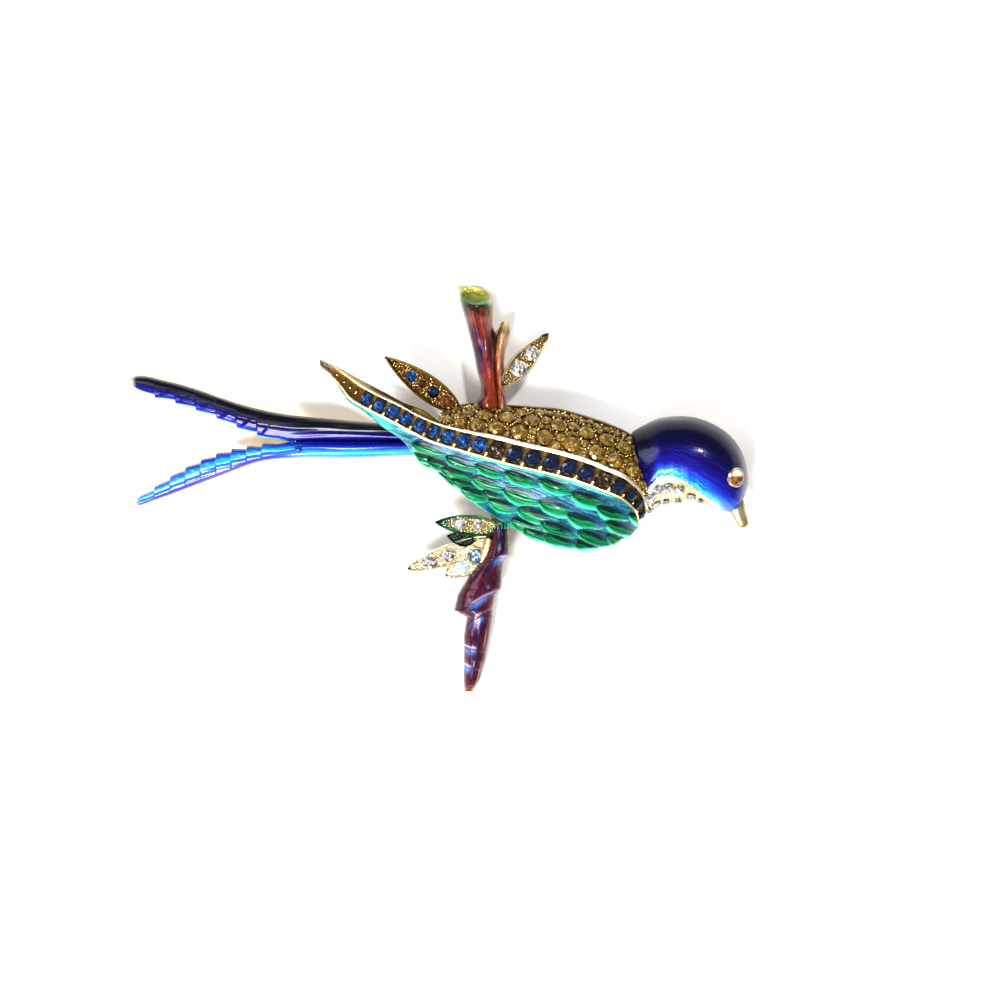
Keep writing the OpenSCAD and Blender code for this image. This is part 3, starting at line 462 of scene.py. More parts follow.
# Shader maths
class Socket:
    """An output socket of a material's nodes; sums of such sockets add Math nodes."""

    def __init__(self, bench: "Bench", link: bpy.types.NodeSocket) -> None:
        """Keeps the bench that makes the nodes and the socket itself."""
        self.bench, self.link = bench, link

    def maths(self, operation: str, *others: "Socket | float", clamp: bool = False) -> "Socket":
        """The socket and other values put through one Math node."""
        sockets = dict(enumerate((self, *others)))
        return self.bench.node("ShaderNodeMath", {"operation": operation, "use_clamp": clamp}, sockets)

    def __add__(self, other: "Socket | float") -> "Socket":
        """Sum."""
        return self.maths("ADD", other)

    def __mul__(self, other: "Socket | float") -> "Socket":
        """Product."""
        return self.maths("MULTIPLY", other)

    def __sub__(self, other: "Socket | float") -> "Socket":
        """Difference."""
        return self.maths("SUBTRACT", other)

    def __rsub__(self, other: float) -> "Socket":
        """A number less this socket."""
        return self.maths("MULTIPLY_ADD", -1.0, other)

    __radd__ = __add__
    __rmul__ = __mul__

    def clamped(self) -> "Socket":
        """Held between 0 and 1."""
        return self.maths("ADD", 0.0, clamp=True)

    def step(self, low: float, high: float) -> "Socket":
        """A smooth step from 0 at low to 1 at high."""
        settings = {"interpolation_type": "SMOOTHSTEP"}
        return self.bench.node("ShaderNodeMapRange", settings, {0: self, 1: low, 2: high})

    def waves(self) -> "Socket":
        """One wave between 0 and 1 each time the socket grows by 1."""
        return (self * (2 * math.pi)).maths("SINE") * 0.5 + 0.5


class Bench:
    """Builds the nodes of one material."""

    def __init__(self, name: str) -> None:
        """Starts an empty material of that name.

        Args:
            name: the material's name.
        """
        self.material = bpy.data.materials.new(name)
        self.material.use_nodes = True
        self.tree = self.material.node_tree
        self.tree.nodes.clear()

    def node(
        self,
        kind: str,
        settings: dict[str, object] | None = None,
        sockets: dict[int | str, object] | None = None,
        out: int | str = 0,
    ) -> Socket:
        """Adds a node.

        Args:
            kind: the node's type.
            settings: its own settings, set first; "stops" are a ramp's (place, colour) pairs.
            sockets: values or sockets for its inputs, by number or name.
            out: the output that is handed back.

        Returns:
            That output.
        """
        made = self.tree.nodes.new(kind)
        for key, value in (settings or {}).items():
            if key != "stops":
                setattr(made, key, value)
                continue
            ramp = made.color_ramp.elements
            while len(ramp) < len(value):
                ramp.new(0.5)
            for element, (place, _) in zip(ramp, value):
                element.position = place
            for element, (_, colour) in zip(ramp, value):
                element.color = (*colour, 1.0)
        for key, value in (sockets or {}).items():
            if isinstance(value, Socket):
                self.tree.links.new(value.link, made.inputs[key])
            elif isinstance(value, tuple) and made.inputs[key].type == "RGBA":
                made.inputs[key].default_value = (*value, 1.0)
            else:
                made.inputs[key].default_value = value
        return Socket(self, made.outputs[out])

    def note(self, name: str) -> Socket:
        """A number laid on the piece's corners or faces."""
        return self.node("ShaderNodeAttribute", {"attribute_name": name}, out=2)

    def place(self, scale: tuple[float, float, float] = (1.0, 1.0, 1.0)) -> Socket:
        """Object coordinates, stretched."""
        where = self.node("ShaderNodeTexCoord", out="Object")
        return self.node("ShaderNodeMapping", None, {"Vector": where, "Scale": scale})

    def noise(self, where: Socket, scale: float, detail: float = 3.0) -> Socket:
        """Soft cloudy noise from 0 to 1."""
        return self.node("ShaderNodeTexNoise", None, {"Vector": where, "Scale": scale, "Detail": detail})

    def cloud(self, scale: float, detail: float = 3.0) -> Socket:
        """Noise over the piece's place."""
        return self.noise(self.place(), scale, detail)

    def streaks(self, x: Socket, y: Socket, z: Socket | float = 0.0, detail: float = 4.0) -> Socket:
        """Noise over three numbers, which stretches with them."""
        return self.noise(self.node("ShaderNodeCombineXYZ", None, {0: x, 1: y, 2: z}), 1.0, detail)

    def ramp(self, factor: Socket, row: Stops) -> Socket:
        """A colour along a row of stops."""
        return self.node("ShaderNodeValToRGB", {"stops": row}, {0: factor})

    def blend(self, factor: Socket | float, a: Socket | Colour, b: Socket | Colour) -> Socket:
        """Two colours mixed."""
        return self.node("ShaderNodeMix", {"data_type": "RGBA"}, {0: factor, 6: a, 7: b}, out=2)

    def done(
        self, colour: Socket, roughness: Socket, height: Socket, depth: float, constants: dict[str, float]
    ) -> bpy.types.Material:
        """Closes the material.

        Args:
            colour: base colour.
            roughness: roughness.
            height: relief from 0 to 1.
            depth: the relief's height in millimetres.
            constants: the shader's other values.

        Returns:
            The material.
        """
        bump = self.node("ShaderNodeBump", None, {"Strength": 1.0, "Distance": depth * MM, "Height": height})
        sockets = {"Base Color": colour, "Roughness": roughness, "Normal": bump, **constants}
        shader = self.node("ShaderNodeBsdfPrincipled", None, sockets)
        end = self.tree.nodes.new("ShaderNodeOutputMaterial")
        self.tree.links.new(shader.link, end.inputs["Surface"])
        return self.material


# Finishes
class Slot(Enum):
    """The record's material slots."""

    GOLD = "gold_metal"
    BLUE = "blue_enamel"
    AZURE = "azure_enamel"
    GREEN = "green_enamel"
    BROWN = "brown_enamel"
    CORAL = "coral_enamel"
    WINE = "wine_enamel"
    TOPAZ = "topaz_stone"
    SAPPHIRE = "sapphire_stone"
    CLEAR = "clear_stone"
    AMBER = "amber_stone"
    STEEL = "steel_pin"


@dataclass(frozen=True)
class Metal:
    """Plated metal: a colour darkened by patina and painted shade in recesses and by painted shade on the
    underside, with fine scratches and a cast grain.
    """

    name: str
    colour: Colour = (1.0, 0.78, 0.40)
    wear_and_shade: Colour = (0.80, 0.52, 0.18)
    # dark: the colour of the patina and painted shade.
    dark: Colour = (0.075, 0.038, 0.01)
    gloss: float = 0.16
    grain: float = 0.02
    pebbles: float = 0.0

    def made(self) -> bpy.types.Material:
        """The material: two cloud sizes tint and roughen it, long thin noise scratches it.

        Returns:
            The material.
        """
        b = Bench(self.name)
        cloud, fine = b.cloud(620.0, 4.0), b.cloud(5200.0)
        scratch = b.noise(b.place((1.0, 9.0, 4.0)), 1500.0, 2.0)
        # The mask: patina and painted shade in recesses, painted shade on the underside.
        recess = (b.note("recess") * 0.85 + b.note("under") * 0.35).clamped()
        colour = b.blend(cloud.step(0.35, 0.75), self.colour, self.wear_and_shade)
        # Tints by note: bronze, painted shade where it lies in the wing's channel; pale cream, a painted
        # highlight on rims; silver.
        tints = {
            "bronze": ((0.15, 0.1, 0.018), (0.08, 0.05, 0.008)),
            "cream": ((1.0, 0.95, 0.78), (0.96, 0.82, 0.52)),
            "silver": ((0.62, 0.64, 0.6), (0.3, 0.33, 0.3)),
        }
        for note, tint in tints.items():
            colour = b.blend(b.note(note), colour, b.blend(cloud, *tint))
        # Dark specks, then an even darkening, of patina and painted shade.
        colour = b.blend((fine * recess).step(0.12, 0.6), colour, self.dark)
        colour = b.blend(recess * 0.6, colour, self.dark)
        rough = cloud * 0.14 + fine.step(0.45, 0.8) * 0.12 + recess * 0.25 + self.gloss
        height = fine * 0.55 + scratch * 0.45
        if self.pebbles:
            cells = b.node("ShaderNodeTexVoronoi", None, {"Vector": b.place(), "Scale": 2600.0})
            height = height + (1.0 - cells) * self.pebbles
        return b.done(colour, rough, height, self.grain, {"Metallic": 1.0})


@dataclass(frozen=True)
class Bed(Metal):
    """The pebbled floor under stones."""

    gloss: float = 0.26
    grain: float = 0.05
    pebbles: float = 0.5


@dataclass(frozen=True)
class Enamel:
    """A glossy vitreous layer over bright metal. Each kind gives its own colour and relief."""

    name: str
    metallic: float = 0.2
    gloss: float = 0.2
    coat: float = 0.45

    def colour(self, b: Bench) -> Socket:
        """The layer's colour."""
        raise NotImplementedError

    def relief(self, b: Bench) -> Socket:
        """Fine unevenness of the fired surface."""
        return b.cloud(900.0) * 0.7 + b.cloud(4200.0, 2.0) * 0.3

    def made(self) -> bpy.types.Material:
        """The material, under a clear coat.

        Returns:
            The material.
        """
        b = Bench(self.name)
        rough = b.cloud(800.0) * 0.16 + self.gloss
        constants = {
            "Metallic": self.metallic,
            "Coat Weight": self.coat,
            "Coat Roughness": 0.05,
            "Coat IOR": 1.36,
            "Specular IOR Level": 0.15,
        }
        return b.done(self.colour(b), rough, self.relief(b), 0.05, constants)


class HeadBlue(Enamel):
    """Near-black over the crown, violet-blue on the side and azure along the throat, in long fine streaks:
    the enamel's own blues with painted shade over the crown and a painted reflection along the throat.
    """

    def colour(self, b: Bench) -> Socket:
        """A ramp across the head, moved by streaks that run along it, with a bright patch behind the neck;
        its near-black end is partly painted shade and its azure end partly a painted reflection.

        Args:
            b: the material's bench.

        Returns:
            The socket.
        """
        across, along = b.note("across"), b.note("along")
        streak = b.streaks(along * 5.0, across * 60.0)
        coarse = b.streaks(along * 9.0, across * 14.0, 3.0, 3.0)
        fine = b.streaks(along * 4.0, across * 110.0, 7.0, 2.0)
        neck = (along + (streak - 0.5) * 0.16).step(0.13, 0.2)
        shift = across + (streak - 0.5) * 0.32 + (coarse - 0.5) * 0.14 - (1.0 - neck) * 0.34
        # Near-black to violet: enamel colour with painted shade; royal blue to pale azure: enamel colour with
        # a painted reflection.
        row = stops(
            (0, 1, 1, 12), (42, 1.5, 1, 34), (60, 6, 2, 100),
            (76, 9, 6, 220), (87, 8, 70, 550), (97, 40, 420, 900),
        )
        hair = fine.step(0.52, 0.72) * across.step(0.25, 0.6) * 0.5
        body = b.blend(hair, b.ramp(shift, row), (0.03, 0.05, 0.5))
        return b.blend(across.step(0.84, 0.93) * along.step(0.58, 0.7), body, (0.07, 0.1, 0.42))


class PlumageGreen(Enamel):
    """Long feather scales: a painted mint highlight at the lower edge, emerald in the middle, painted shade
    dark above, steel blue in gaps.
    """

    def colour(self, b: Bench) -> Socket:
        """A ramp across each scale from a painted highlight at its lower edge to painted shade above, striped
        along it, and a blue-grey field where no scale lies.

        Args:
            b: the material's bench.

        Returns:
            The socket.
        """
        side, blade, gap, edge = b.note("side"), b.note("blade"), b.note("gap"), b.note("edge")
        streak = b.streaks(b.note("run") * 0.5, b.note("lane") * 2.6)
        strip = b.streaks(blade * 2.6, side * 6.0, b.note("which") * 9.0, 3.0)
        across = side * 0.5 + 0.5 + (strip - 0.5) * 0.7
        scale = b.ramp(
            across,
            stops(
                (0, 30, 660, 420), (12, 4, 460, 230), (24, 0, 190, 60), (40, 0, 75, 18),
                (50, 3, 260, 110), (58, 0, 20, 10), (80, 1, 12, 20), (93, 10, 60, 120),
            ),
        )
        ground = b.ramp(
            streak,
            stops(
                (26, 1, 18, 30), (38, 6, 90, 100), (46, 15, 90, 170), (52, 60, 150, 310),
                (58, 5, 250, 160), (64, 10, 60, 120), (70, 90, 200, 380), (80, 20, 340, 260),
            ),
        )
        body = b.blend(gap, b.blend(blade.step(0.45, 0.95), scale, ground), ground)
        # A painted mint highlight along the scales' lower lips and the layer's borders, and mint near the
        # wing's tip.
        return b.blend((edge * (streak.step(0.3, 0.6) * 0.7 + 0.35)).clamped(), body, (0.1, 0.8, 0.55))

    def relief(self, b: Bench) -> Socket:
        """Barbs along each scale, over the fired surface."""
        barbs = (b.note("side") * 3.0 + b.cloud(1100.0) * 0.6).waves()
        return barbs * 0.5 + b.cloud(3000.0) * 0.5


@dataclass(frozen=True)
class TailBlue(Enamel):
    """A prong of the tail: rows of stops, after and before the fork, from its far side to its barbs, some of
    them painted highlights along the ridge and the barbs.
    """

    blade: Stops = ()
    root: Stops = ()

    def colour(self, b: Bench) -> Socket:
        """Two ramps across the prong, one before the fork and one after it, moved by long streaks.

        Args:
            b: the material's bench.

        Returns:
            The socket.
        """
        across, along = b.note("across"), b.note("along")
        streak = b.streaks(along * 9.0, across * 16.0)
        place = across + (streak - 0.5) * 0.34
        colour = b.ramp(place, self.blade)
        if self.root:
            forked = (along + (streak - 0.5) * 0.1).step(0.33, 0.46)
            colour = b.blend(forked, b.ramp(place, self.root), colour)
        return b.blend(b.note("tip"), colour, (0.4, 0.4, 0.36))


@dataclass(frozen=True)
class Bark(Enamel):
    """Bark enamel: colours along the stem, mixed by long streaks with darker ones."""

    long_way: Stops = ()
    cross_way: Stops = ()
    edge: Colour = (0.35, 0.2, 0.05)
    glint: Colour = (0.25, 0.3, 0.5)
    pale: Colour = (0.62, 0.3, 0.22)
    glow: Colour = (0.26, 0.03, 0.015)
    speckle: float = 0.35
    seam: float = 0.0

    def colour(self, b: Bench) -> Socket:
        """Two ramps mixed by noise, speckled, dark on the left flank, with painted glints by the steps and in
        scattered spots, a pale painted highlight on the steps' lips and pale near the right edge.

        Args:
            b: the material's bench.

        Returns:
            The socket.
        """
        across, along = b.note("across"), b.note("along")
        streak = b.streaks(along * 4.5, across * 6.0, 1.0)
        patch = b.streaks(along * 9.0, across * 3.0, 5.0, 3.0)
        spots = b.streaks(along * 10.0, across * 5.0, 9.0, 3.0)
        speck = b.noise(b.place((1.0, 0.6, 1.0)), 2600.0)
        base = b.ramp(along + (patch - 0.5) * 0.3, self.long_way)
        lines = b.ramp(across + (streak - 0.5) * 0.7, self.cross_way)
        both = b.blend(streak.step(0.42, 0.6) * patch.step(0.3, 0.55), base, lines)
        both = b.blend(speck.step(0.56, 0.64) * self.speckle, both, self.glow)
        both = b.blend((1.0 - speck.step(0.38, 0.46)) * self.speckle, both, (0.004, 0.003, 0.02))
        both = b.blend((1.0 - across.step(0.0, 0.25)) * 0.8, both, (0.006, 0.002, 0.004))
        # Painted highlights: glints by the steps (the ridge note) and in scattered spots, then pale on the
        # steps' lips.
        glint = (b.note("ridge") * spots.step(0.3, 0.5) + spots.step(0.64, 0.7) * 0.35).clamped()
        line = across.step(0.79, 0.82) * (1.0 - across.step(0.83, 0.86))
        line = line * along.step(0.6, 0.7) * patch.step(0.35, 0.5) * self.seam
        lit = b.blend((line + b.note("lip") * 0.85).clamped(), b.blend(glint, both, self.glint), self.pale)
        return b.blend(across.step(0.9, 1.0), lit, self.edge)


class CutWood(Enamel):
    """The cut end of the branch: yellow-green glass in a scoop, dark at its foot."""

    def colour(self, b: Bench) -> Socket:
        """Rings of yellow and green round the scoop's middle.

        Args:
            b: the material's bench.

        Returns:
            The socket.
        """
        ring, low = b.note("ring"), b.note("low")
        row = stops(
            (0, 600, 520, 160), (22, 340, 310, 40), (50, 120, 140, 10), (80, 15, 90, 8), (100, 12, 16, 2)
        )
        inner = b.ramp(low + (b.cloud(700.0) - 0.5) * 0.35, row)
        return b.blend(ring.step(0.66, 0.78) * (1.0 - low.step(0.55, 0.9)), inner, (0.34, 0.33, 0.18))


@dataclass(frozen=True)
class GreenRim(Enamel):
    """A leaf whose rim and tip are green, with a gold floor as wide as the share given."""

    floor: float = 0.6
    dark: Colour = (0.002, 0.03, 0.012)
    light: Colour = (0.01, 0.14, 0.05)

    def colour(self, b: Bench) -> Socket:
        """Green where the note "across" nears one border, olive gold between.

        Args:
            b: the material's bench.

        Returns:
            The socket.
        """
        cloud = b.cloud(900.0)
        wide = b.note("across").maths("ABSOLUTE").step(self.floor, self.floor + 0.18)
        rim = (wide + (b.note("along") + (cloud - 0.5) * 0.3).step(0.68, 0.78)).clamped()
        gold = b.blend(cloud, (0.22, 0.2, 0.08), (0.06, 0.06, 0.015))
        return b.blend(rim, gold, b.blend(cloud.step(0.4, 0.7), self.dark, self.light))


@dataclass(frozen=True)
class Gem:
    """A cut stone: each facet has its own random tone between a dark and a bright colour, a painted stand-in
    for the reflections inside the stone, under a hard gloss.
    """

    name: str
    row: Stops
    cloudy: float = 0.0
    slot: Slot = Slot.CLEAR

    def tone(self, b: Bench, cloud: Socket) -> Socket:
        """Each facet's tone, its painted reflection, a little cloudy inside the glass."""
        return b.note("facet") * 0.8 + (cloud - 0.5) * (0.3 + self.cloudy) - b.note("zone") * 0.12 + 0.12

    def made(self) -> bpy.types.Material:
        """The material: the facets' tones through a ramp.

        Returns:
            The material.
        """
        b = Bench(self.name)
        cloud = b.cloud(1900.0, 2.0)
        rough = cloud * 0.08 + (0.05 + 0.2 * self.cloudy)
        constants = {"Metallic": 0.15, "Coat Weight": 0.4, "Coat Roughness": 0.02, "IOR": 1.5}
        return b.done(b.ramp(self.tone(b, cloud), self.row), rough, cloud, 0.004, constants)


class EyeGem(Gem):
    """The eye's stone: amber below, with a painted silver-white reflection above."""

    def tone(self, b: Bench, cloud: Socket) -> Socket:
        """Each facet's tone, moved by the height across the stone, which paints the upper part with a white
        reflection.
        """
        return b.note("facet") * 0.3 + b.note("rise").step(0.42, 0.72) * 0.75


Finish = Metal | Enamel | Gem
GOLD = Metal("cast_gold")
CREAM_GOLD = Metal("cream_gold", (1.0, 0.88, 0.58), (0.95, 0.74, 0.36), gloss=0.12)
BROWN_GOLD = Metal("bronze_gold", (0.62, 0.42, 0.14), (0.42, 0.27, 0.07), gloss=0.2)
ROSE_GOLD = Metal("rose_gold", (0.42, 0.19, 0.1), (0.22, 0.09, 0.045), gloss=0.22)
SILVER_GOLD = Metal("silver_gold", (0.72, 0.62, 0.42), (0.5, 0.4, 0.22))
BEAK_GOLD = Metal("beak_gold", (0.8, 0.68, 0.42), (0.6, 0.46, 0.22))
SPUR_GOLD = Metal("spur_gold", (0.9, 0.62, 0.28), (0.7, 0.42, 0.14))
TUFT_SILVER = Metal("tuft_silver", (0.42, 0.6, 0.5), (0.2, 0.36, 0.3), (0.01, 0.06, 0.05))
CREAM_BED = Bed("cream_bed_gold", (0.62, 0.57, 0.42), (0.42, 0.36, 0.22), gloss=0.22)
BED_GOLD = Bed("bed_gold", (0.2, 0.115, 0.02), (0.11, 0.06, 0.01), grain=0.06, pebbles=0.6)
PALE_BED = Bed("pale_bed_gold", (0.13, 0.105, 0.055), (0.075, 0.058, 0.026))
AMBER_BED = Bed(
    "amber_bed_gold", (0.06, 0.026, 0.003), (0.03, 0.012, 0.001), gloss=0.3, grain=0.06, pebbles=0.6
)
THROAT_BED = Bed("throat_bed_gold", (0.95, 0.9, 0.72), (0.85, 0.74, 0.48), gloss=0.18)
STEEL = Metal("pin_steel", (0.82, 0.80, 0.74), (0.66, 0.64, 0.58), (0.1, 0.09, 0.08), gloss=0.2)
SAPPHIRE = Gem(
    "sapphire",
    stops((0, 1, 3, 12), (40, 2, 12, 55), (68, 5, 55, 200), (88, 15, 150, 480), (100, 150, 450, 850)),
    slot=Slot.SAPPHIRE,
)
NAVY = Gem(
    "navy_sapphire",
    stops((0, 1, 2, 5), (45, 1, 3, 15), (75, 2, 9, 45), (94, 7, 40, 160), (100, 200, 350, 600)),
    slot=Slot.SAPPHIRE,
)
SMOKE = Gem(
    "brown_stone", stops((0, 2, 1, 1), (50, 14, 5, 2), (85, 70, 30, 16), (100, 800, 700, 600)),
    slot=Slot.TOPAZ,
)
RUSSET = Gem("russet_stone", stops((0, 25, 6, 2), (50, 80, 22, 5), (100, 260, 100, 25)), 0.3, Slot.TOPAZ)
TOPAZ = Gem(
    "topaz",
    stops((0, 45, 22, 1), (40, 120, 68, 4), (75, 230, 140, 14), (100, 550, 420, 170)),
    0.5,
    Slot.TOPAZ,
)
CRYSTAL = Gem(
    "crystal", stops((0, 40, 36, 42), (35, 150, 135, 150), (70, 420, 390, 410), (100, 950, 930, 950))
)
SLATE = Gem(
    "slate_crystal", stops((0, 20, 30, 50), (40, 80, 110, 160), (75, 300, 360, 450), (100, 900, 950, 1000))
)
OPAL = Gem("opal_crystal", stops((0, 180, 250, 350), (50, 380, 480, 620), (100, 850, 930, 1000)), 0.4)
AMBER = EyeGem("amber", stops((0, 30, 6, 1), (30, 260, 100, 12), (60, 450, 250, 80), (80, 900, 880, 800)))


# The brooch's own plan
class Column(IntEnum):
    """Columns of the wing's table: x of upper edge, rail and feather edge, then single numbers."""

    EDGE = 0
    RAIL = 2
    HEM = 4
    STONE = 6
    EDGE_Z = 7
    RAIL_Z = 8
    HEM_Z = 9
    FREE = 10


@dataclass(frozen=True)
class Plan:
    """Sizes and tables that several sub-assemblies share, as in the part."""

    rim_z: float = 3.0
    enamel_t: float = 0.35
    fit: float = 0.08
    wall: float = 1.5
    wing_l: float = 39.5
    wing_h: float = 23.2
    wing_z: float = 6.0
    wing_t: float = 1.4
    rail_rim: float = 0.26
    wing_stone_d: float = 2.0
    back_w: float = 5.86
    back_edge: float = 1.3
    head_l: float = 14.6
    head_w: float = 11.5
    head_z: float = 6.4
    tail_l: float = 34.0
    tail_w: float = 16.35
    tail_t: float = 2.3
    branch_l: float = 14.6
    branch_t: float = 3.4
    twig_l: float = 21.0
    twig_t: float = 2.8
    leaf_t: float = 1.3

    # upper edge x, y; rail x, y; feather edge x, y; room for a stone;
    # heights of the upper edge, the rail and the feather edge; free share
    WING = shares(
        (998, 1000, 995, 979, 991, 947, 120, 800, 840, 800, 1000),
        (957, 974, 963, 942, 966, 916, 250, 780, 900, 790, 1000),
        (907, 926, 920, 879, 935, 842, 500, 740, 930, 780, 1000),
        (855, 879, 883, 821, 907, 776, 740, 720, 940, 770, 1000),
        (796, 826, 827, 768, 858, 721, 810, 720, 950, 760, 1000),
        (735, 768, 765, 716, 802, 642, 830, 740, 960, 750, 1000),
        (673, 726, 707, 663, 744, 574, 820, 800, 970, 720, 1000),
        (620, 663, 642, 613, 685, 463, 870, 880, 980, 560, 600),
        (543, 616, 565, 574, 617, 379, 920, 910, 990, 360, 0),
        (451, 587, 475, 534, 537, 263, 1020, 920, 1000, 240, 0),
        (367, 553, 389, 495, 444, 153, 1030, 930, 1000, 200, 0),
        (272, 508, 293, 458, 349, 68, 1020, 930, 1000, 200, 0),
        (173, 455, 198, 413, 241, 16, 1000, 920, 1000, 200, 0),
        (99, 405, 127, 366, 142, 8, 980, 900, 980, 200, 0),
        (31, 339, 68, 324, 62, 58, 940, 860, 940, 220, 0),
        (-9, 263, 28, 266, 25, 105, 840, 720, 820, 260, 0),
        (-6, 195, 12, 221, 12, 132, 680, 560, 660, 300, 0),
        (3, 153, 8, 174, 9, 142, 540, 440, 500, 320, 0),
    )
    # place along the wing's table (in rows), step from its upper edge x, y (shares of back_w)
    BACK = shares(
        (6900, -40, 180), (7600, -120, 480), (8300, -60, 670), (9000, 40, 710), (10000, 80, 810),
        (11000, 100, 930), (12000, 80, 960), (13000, 20, 1000), (14000, -60, 1070), (14640, 100, 900),
    )

    @property
    def skin(self) -> float:
        """Depth of an enamel layer with its play."""
        return self.enamel_t + self.fit

    def row(self, s: Array) -> Array:
        """The wing's table at places s."""
        return rows_at(self.WING, s)

    def across(self, s: Array, column: int) -> Array:
        """A point of the wing's table as x and y: minus its share of the length, its share of the height."""
        r = self.row(s)
        return np.stack([-r[..., column] * self.wing_l, r[..., column + 1] * self.wing_h], -1)

    def edge(self, s: Array) -> Array:
        """The wing's upper edge."""
        return self.across(s, Column.EDGE)

    def rail(self, s: Array) -> Array:
        """The middle of the wing's stone rail."""
        return self.across(s, Column.RAIL)

    def hem(self, s: Array) -> Array:
        """The wing's feather edge."""
        return self.across(s, Column.HEM)

    def rail_top(self, s: Array) -> Array:
        """Height of the rail."""
        return self.rim_z + self.row(s)[..., Column.RAIL_Z] * self.wing_z

    def hem_top(self, s: Array) -> Array:
        """Height of the metal at the feather edge."""
        return self.rim_z + self.row(s)[..., Column.HEM_Z] * self.wing_z - self.skin

    def rail_half(self, s: Array) -> Array:
        """Half the rail's width."""
        return self.row(s)[..., Column.STONE] * self.wing_stone_d / 2 + self.fit + self.rail_rim

    def rail_points(self, s: Array, across: Array, z: Array) -> Array:
        """Points rail(s) + across · way, where way goes from the feather edge to the upper edge.

        Args:
            s: places along the rail.
            across: distances across it.
            z: heights.

        Returns:
            Points, n by m by 3.
        """
        way = unit(self.edge(s) - self.hem(s))
        xy = self.rail(s)[:, None] + way[:, None] * across[..., None]
        return np.concatenate([xy, np.broadcast_to(z, xy.shape[:2])[..., None]], -1)

    def rail_spots(self, s: Array, across: float, lift: float) -> Array:
        """One point for each place of the rail, at one distance across and one height over it."""
        return self.rail_points(s, np.full((len(s), 1), across), (self.rail_top(s) + lift)[:, None])[:, 0]

    def slope(self, s: Array, v: Array, lift: Array | float) -> Array:
        """The feathered slope: straight from the rail's foot to the feather edge, bulged by a sine of v.

        Args:
            s: places along the wing, n of them.
            v: places across, m of them, 0 at the rail and 1 at the edge.
            lift: height added.

        Returns:
            Points, n by m by 3.
        """
        a = self.rail_points(s, -self.rail_half(s)[:, None], (self.rail_top(s) - self.skin)[:, None])
        b = np.concatenate([self.hem(s), self.hem_top(s)[:, None]], -1)[:, None]
        points = mix(a, b, v[..., None])
        points[..., 2] += 0.13 * np.linalg.norm(b - a, axis=-1) * np.sin(np.pi * np.clip(v, 0, 1)) + lift
        return points

    def back_low(self, s: Array) -> Array:
        """Where the back meets the wing's upper edge."""
        return self.edge(rows_at(self.BACK, s)[..., 0])

    def back_outline(self, s: Array) -> Array:
        """The back's outline."""
        return self.back_low(s) + rows_at(self.BACK, s)[..., 1:] * self.back_w

    def back_points(self, s: Array, v: Array, lift: Array | float) -> Array:
        """The back's crown from the wing's edge (v 0) to its outline (v 1), as high as a softened cosine.

        Args:
            s: places along the back.
            v: places across it.
            lift: height added.

        Returns:
            Points, n by m by 3.
        """
        high = self.rim_z + self.row(rows_at(self.BACK, s)[..., 0])[..., Column.EDGE_Z] * self.wing_z
        low = self.rim_z + self.back_edge
        xy = mix(self.back_low(s)[:, None], self.back_outline(s)[:, None], v[..., None])
        z = low + (high - low)[:, None] * np.cos(np.pi / 2 * np.clip(v, 0, 1)) ** 0.8 + lift
        return np.concatenate([xy, z[..., None]], -1)

    @property
    def neck(self) -> Array:
        """The wing's corner, from which the head is measured."""
        return self.edge(np.array(15.0))

    @property
    def tail_root(self) -> Array:
        """Where the tail leaves the wing."""
        return self.hem(np.array(6.0))

    @property
    def branch_root(self) -> Array:
        """Where the branch leaves the back."""
        return self.back_outline(np.array(2.6))

    @property
    def twig_root(self) -> Array:
        """Where the lower twig leaves the wing."""
        return self.hem(np.array(10.0))

    def by_twig(self, x: Array | float, y: Array | float, z: Array | float) -> Array:
        """Points by the lower twig: steps from its root as shares of its length, and heights over the rim."""
        root = self.twig_root
        return np.stack([root[0] + x * self.twig_l, root[1] + y * self.twig_l, self.rim_z + z], -1)

    @property
    def centre(self) -> Array:
        """The step that puts the middle of the brooch's outline on the origin.

        Returns:
            The step.
        """
        x = self.tail_root[0] - self.tail_l + self.neck[0] + 0.85 * self.head_l
        y = self.twig_root[1] - self.twig_l + self.branch_root[1] + self.branch_l
        return np.array([-x / 2, -y / 2, 0.0])

    def sink(self, x: Array) -> Array:
        """Height of the rim along a limb, which comes down to the surface at its end."""
        return self.rim_z * (1 - np.clip(x, 0, 1) ** 2)

    def underside(self, top: Array, x: Array, lap: float) -> Array:
        """A limb's flat underside: straight across below its upper side, a lap under the rim's height.

        Args:
            top: the limb's upper side.
            x: places along it.
            lap: depth at its root.

        Returns:
            Points, as many as the upper side has.
        """
        low = mix(top[:, :1], top[:, -1:], np.linspace(0, 1, top.shape[1])[None, :, None])
        low[..., 2] = (self.sink(x) - lap * (1 - np.clip(x, 0, 1) ** 2))[:, None]
        return low


def placed(name: str, data: bpy.types.ID) -> bpy.types.Object:
    """A new object of the scene, at the origin.

    Args:
        name: its name.
        data: its mesh, lamp or camera.

    Returns:
        The object.
    """
    made = bpy.data.objects.new(name, data)
    bpy.context.scene.collection.objects.link(made)
    return made


